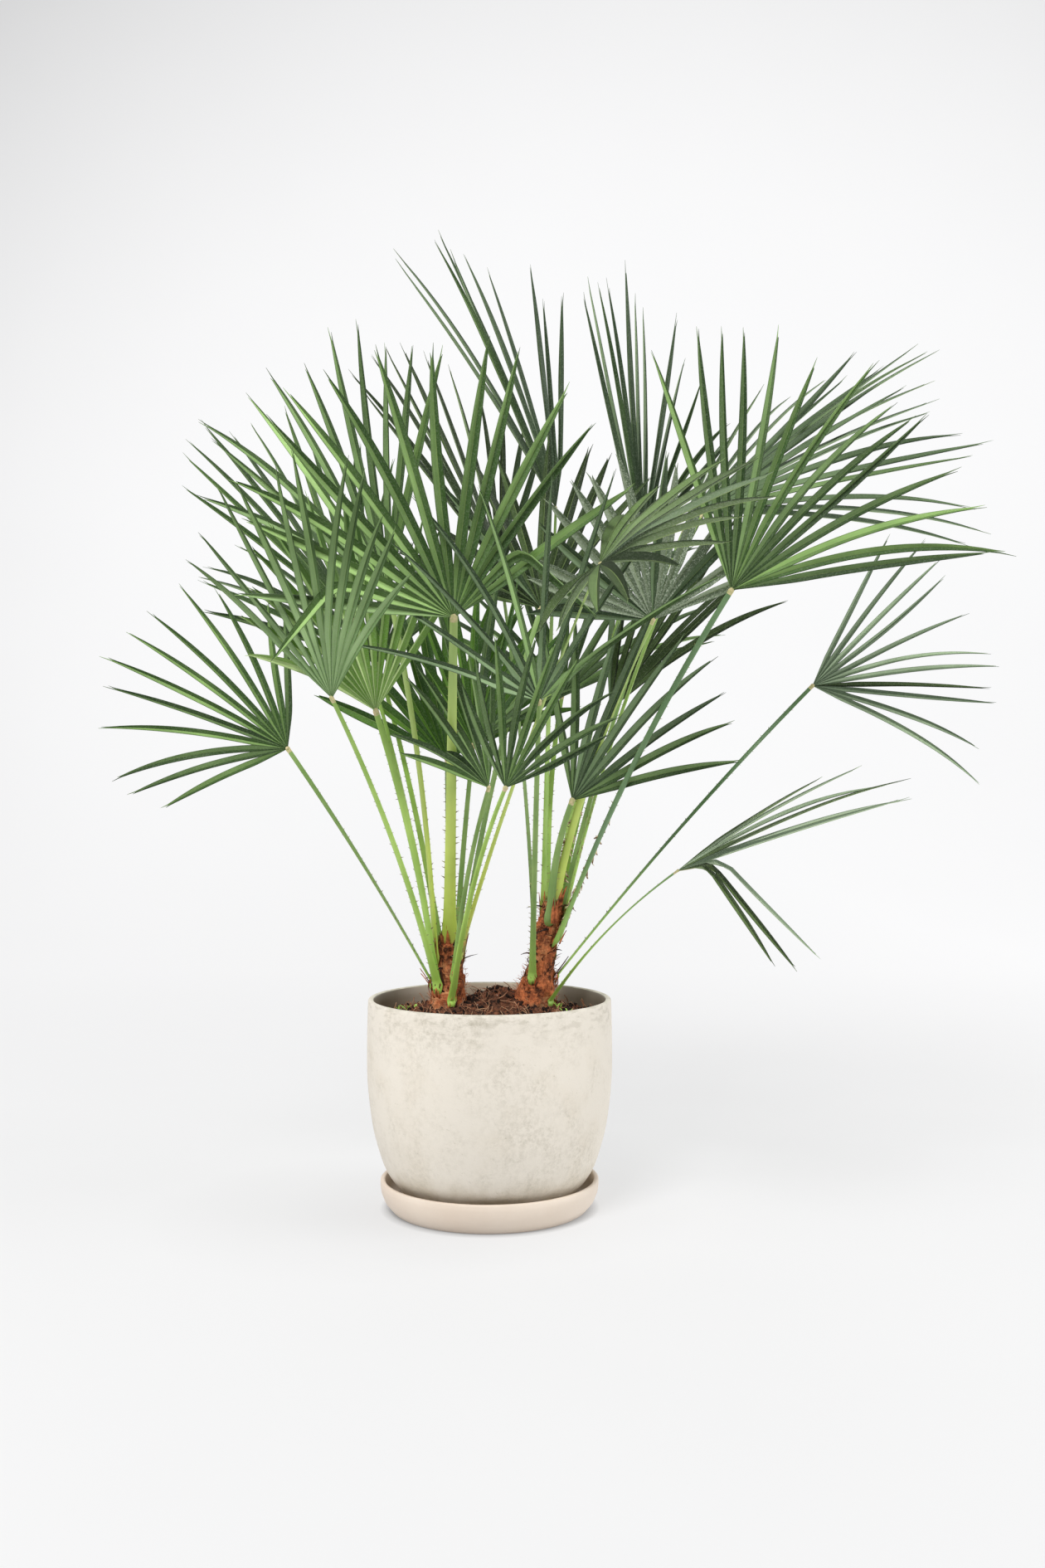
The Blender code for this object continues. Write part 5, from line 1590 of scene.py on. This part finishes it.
def fine_leaflet(shape, frond, index, lines, splits, kinds, rng):
    """Two half blades that share a folded rib and part at the tip."""
    one = frond.leaflets[index]
    reach = one.length * one.cut
    start, a = frond.neck_w * 0.35 / reach, one.join / reach
    half = one.join * math.tan(math.radians(frond.spread) / frond.count / 2)
    half *= LEAF_SLIM.get(frond.name, 1.0)
    shares = [start + (a - start) * j / JOINED_ROWS for j in range(JOINED_ROWS)]
    shares += [a + (1 - a) * (j / FREE_ROWS) for j in range(FREE_ROWS + 1)]
    course = leaflet_spine(one, shares, rng.uniform(-LEAF_ROLL, LEAF_ROLL),
                           LEAF_ARCH[0] + LEAF_ARCH[1] * rng.random() ** 2,
                           rng.uniform(-LEAF_BEND, LEAF_BEND))
    parting = rng.uniform(*TIP_SPLIT)
    shift = rng.uniform(0, 900)
    longer = rng.choice((-1, 1))
    # Painted light: picks which half blade is painted as the lit half, by which way the leaflet
    # faces.
    painted_lit_hand = -1 if one.side.x * course[JOINED_ROWS][2].dot(frond.face) > 0 else 1
    width0 = blade_half(parting, half)
    for hand in (-1, 1):
        go, face = lines[index + (hand > 0)]
        held = splits[index + (hand > 0)]
        last = 1.0 if hand == longer else rng.uniform(0.94, 0.995)
        rows = []
        for k, t in enumerate(shares):
            s = (t - a) / (1 - a)
            p, side, up, along = course[k]
            if s > parting:
                short = (s - parting) * (1 - last) / (1 - parting)
                p = p - along * short * reach * (1 - a)
                open_share = (s - parting) / (1 - parting)
                inner = width0 * 0.8 * open_share
                outer = width0 * (1 - 0.2 * open_share)
                lean = width0 * 0.35 * open_share ** 2
                inner, outer = inner + lean, max(outer + lean, inner + lean + 0.00015)
            else:
                inner = 0.0
                outer = min(half * LEAF_ROOM * t / a, blade_half(max(0.0, s), half))
            near = p + side * hand * inner + up * LEAF_FOLD * inner
            edge = p + side * hand * outer + up * LEAF_FOLD * outer
            ridge = frond.hub + go * reach * t + face * LEAF_FOLD * half * t / a
            hold = min(1.0, max(0.0, 1 - (t - held) / 0.05))
            edge = edge.lerp(ridge, hold * hold * (3 - 2 * hold))
            over = along.cross(edge - near)
            over = (over if over.dot(up) > 0 else -over).normalized()
            middle = (near + edge) / 2 - over * (edge - near).length * 0.05
            v = reach * t * 20 + shift
            rows.append(((near, middle, edge), over,
                         [(x * hand * painted_lit_hand, v) for x in (0.004, 0.5, 1.0)]))
        add_ribbon(shape, rows, LEAF_THICK, kinds)
    ribs = []
    for k, t in enumerate(shares):
        s = (t - a) / (1 - a)
        if s > parting:
            break
        p, side, up, along = course[k]
        w = RIB_WIDTH * (1 - 0.75 * max(0.0, s)) * (1.0 if k else 0.6)
        p = p - up * LEAF_THICK * 0.3
        ribs.append(shape.put([p - side * w / 2, p + side * w / 2, p - up * w * 0.8]))
    for k, (one_ring, two_ring) in enumerate(zip(ribs, ribs[1:])):
        for j in range(3):
            n = (j + 1) % 3
            shape.face((one_ring[j], two_ring[j], two_ring[n], one_ring[n]),
                       kinds[3] if k < 2 else kinds[2])
    shape.face(ribs[0], kinds[3])
    shape.face(ribs[-1][::-1], kinds[2])


def add_crest(shape, frond, kind):
    """The small raised crest where stalk, ribs and blade meet."""
    across, ahead, face = frond.across, frond.ahead, frond.face
    wide, deep = frond.neck_w * 0.42, 0.0014
    rings = []
    for lift, size in ((-1.0, 0.25), (-0.7, 0.75), (0.0, 1.0), (0.7, 0.75), (1.0, 0.25)):
        rings.append(shape.put([frond.hub + face * deep * lift
                                + (across * math.cos(x) * wide
                                   + ahead * (math.sin(x) * 0.8 + 0.35) * wide) * size
                                for x in (2 * math.pi * k / 12 for k in range(12))]))
    for one, two in zip(rings, rings[1:]):
        for k in range(12):
            n = (k + 1) % 12
            shape.face((one[k], one[n], two[n], two[k]), kind)
    shape.face(rings[0][::-1], kind)
    shape.face(rings[-1], kind)


for frond in fronds:
    grown.parts["fan_" + frond.name] = lay_palm(frond, grown)
for frond in fronds:
    grow_leaflets(frond, grown.around("fan_" + frond.name))
    grown.parts["fan_" + frond.name] = fan_mesh(frond, frond.leaflets, ROWS)

blades = []
for tone, (deep, light) in GREENS.items():
    shaded = tuple(0.5 * a + 0.5 * b for a, b in zip(deep, light))
    pale = tuple(0.85 * a + 0.15 * b for a, b in zip(light, FROST))
    blades.append(leaf_material("leaf_" + tone, deep, light, 0.85 if tone == "frost" else 0.12))
    blades.append(leaf_material("leaf_under_" + tone, shaded, pale, 0.35))
# left_02 and left_04 show these pale materials near the hub: partly the underside's own paler
# colour, partly painted light shining through the leaf.
turned_out = [leaf_material("leaf_grey_side", (0.12, 0.22, 0.07, 1), (0.50, 0.70, 0.34, 1), 0.18,
                            GREENS["mid"]),
              leaf_material("leaf_lime_side", (0.15, 0.29, 0.05, 1), (0.80, 0.98, 0.48, 1), 0.15,
                            GREENS["fresh"])]
rib_skin, place, shader = start_material("leaf rib", Specular_IOR_Level=0.45)
tinge = place.grain(60, 2)
feed(shader, Base_Color=tinge.window(0.35, 0.65).tint((0.27, 0.40, 0.13, 1), RIB_PALE),
     Roughness=tinge * 0.2 + 0.4, Normal=tinge.relief(0.0002, 0.3))
tones = list(GREENS)
for side in TRUNKS:
    fans = Shape()
    own = [f for f in fronds if f.side == side]
    for frond in own:
        rng = random.Random(frond.seed + 3)
        lines = join_points(frond, frond.leaflets)
        splits = [JOINED_SHARE + rng.uniform(-0.05, 0.02) for _ in lines]
        for index in range(frond.count):
            tone = TONES[frond.name]
            if rng.random() < 0.22:
                tone = NEAR_TONE[tone]
            number = 2 * tones.index(tone)
            kinds = (number, number + 1, len(blades), len(blades) + 1)
            if frond.name in UNDER_OUT:
                kinds = (len(blades) + 2 + UNDER_OUT.index(frond.name), number) + kinds[2:]
            if frond.name == "left_12" and rng.random() < 0.08:
                kinds = (2 * tones.index("lime"),) + kinds[1:]
            fine_leaflet(fans, frond, index, lines, splits, kinds, rng)
        add_crest(fans, frond, len(blades) + 1)
    made = fans.piece("fans_" + side, blades + [rib_skin, collar] + turned_out)
    made.data.set_sharp_from_angle(angle=math.radians(40))
    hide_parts(*["fan_" + frond.name for frond in own])


# Room: a plain pale floor that sweeps up behind and glows, with painted shadows and
# shade in its glow, a large soft light above and to the left, a weak fill, and the
# camera level with the middle of the plant.
CAMERA_AT = (0.0376, -1.749, 0.484)
CAMERA_LENS = 35.0
FLOOR_HALF = 9.0
PAPER_GLOW = 0.755
PAPER_NEAR = 0.825
PAPER_FAR = (1.035, 1.035, 1.04, 1)
ROOM_LIGHT = 0.20
LAMPS = (("key", (-0.8, -2.1, 3.0), 1.2, 95.0), ("left", (-2.6, -0.5, 1.0), 1.6, 18.0),
         ("right", (2.6, -0.5, 1.0), 1.6, 34.0))
SWEEP_START, SWEEP_RADIUS, SWEEP_TOP = 2.2, 1.6, 5.0

floor = bpy.data.meshes.new("floor")
line = [(-FLOOR_HALF, 0.0), (SWEEP_START, 0.0)]
line += [(SWEEP_START + SWEEP_RADIUS * math.sin(a), SWEEP_RADIUS * (1 - math.cos(a)))
         for a in (math.pi / 2 * k / 16 for k in range(1, 17))]
line.append((SWEEP_START + SWEEP_RADIUS, SWEEP_TOP))
floor.from_pydata([(x, y, z) for y, z in line for x in (-FLOOR_HALF, FLOOR_HALF)], [],
                  [(2 * k, 2 * k + 1, 2 * k + 3, 2 * k + 2) for k in range(len(line) - 1)])
floor.polygons.foreach_set("use_smooth", [True] * len(floor.polygons))
paper, place, shader = start_material("pale paper", Specular_IOR_Level=0.2,
                                      Emission_Strength=PAPER_GLOW)
shade = place.grain(3, 2)
# The paper glows, and its glow holds painted light and shade: brighter further back and to the
# right, a painted vignette that darkens it away from a point right of the plant, most at the upper
# left, a painted contact shadow right under the saucer, a faint painted shade round it and a
# painted soft shadow to its left.
split = place.node("ShaderNodeSeparateXYZ", {}, {0: place})
far = (place.node("ShaderNodeSeparateXYZ", {}, {0: place}, 1).window(0.3, 3.6)
       + split.window(0.2, 1.6) * 0.4)
ring = place.node("ShaderNodeVectorMath", {"operation": "MULTIPLY_ADD"},
                  {0: place, 1: (1, 0, 1), 2: (-0.8, 0, -0.5)})
ring = ring.node("ShaderNodeVectorMath", {"operation": "LENGTH"}, {0: ring}, 1).window(1.8, 3.9)
foot = place.node("ShaderNodeVectorMath", {"operation": "MULTIPLY"}, {0: place, 1: (1, 1, 0)})
foot = foot.node("ShaderNodeVectorMath", {"operation": "LENGTH"}, {0: foot}, 1)
side = place.node("ShaderNodeVectorMath", {"operation": "MULTIPLY_ADD"},
                  {0: place, 1: (1, 1, 0), 2: (0.13, 0.02, 0)})
side = side.node("ShaderNodeVectorMath", {"operation": "LENGTH"}, {0: side}, 1)
painted_floor_shade = (ring * ring * 0.31 + (1 - foot.window(0.108, 0.126)) * 0.65
       + (1 - foot.window(0.11, 0.24)) * 0.05 + (1 - side.window(0.02, 0.26)) * 0.10)
feed(shader, Base_Color=shade.tint((0.24, 0.24, 0.243, 1), (0.26, 0.26, 0.263, 1)),
     Roughness=shade * 0.1 + 0.75,
     Emission_Color=painted_floor_shade.tint(far.tint((PAPER_NEAR, PAPER_NEAR, PAPER_NEAR, 1), PAPER_FAR),
                             (0, 0, 0, 1)))
floor.materials.append(paper)
sweep = bpy.data.objects.new("floor", floor)
bpy.context.scene.collection.objects.link(sweep)

world = bpy.data.worlds.new("room")
world.use_nodes = True
world.node_tree.nodes["Background"].inputs["Color"].default_value = (1, 1, 1, 1)
world.node_tree.nodes["Background"].inputs["Strength"].default_value = ROOM_LIGHT
bpy.context.scene.world = world
bpy.context.scene.view_settings.view_transform = "Standard"
for name, at, size, watts in LAMPS:
    lamp = bpy.data.lights.new(name, "AREA")
    lamp.shape, lamp.size, lamp.energy = "SQUARE", size, watts
    holder = bpy.data.objects.new(name, lamp)
    holder.location = at
    holder.rotation_euler = (Vector((0, 0, 0.5)) - Vector(at)).to_track_quat("-Z", "Y").to_euler()
    bpy.context.scene.collection.objects.link(holder)

lens = bpy.data.cameras.new("camera")
lens.lens, lens.sensor_width, lens.sensor_fit = CAMERA_LENS, 36.0, "AUTO"
camera = bpy.data.objects.new("camera", lens)
camera.location = CAMERA_AT
camera.rotation_euler = (math.pi / 2, 0, 0)
bpy.context.scene.collection.objects.link(camera)
bpy.context.scene.camera = camera
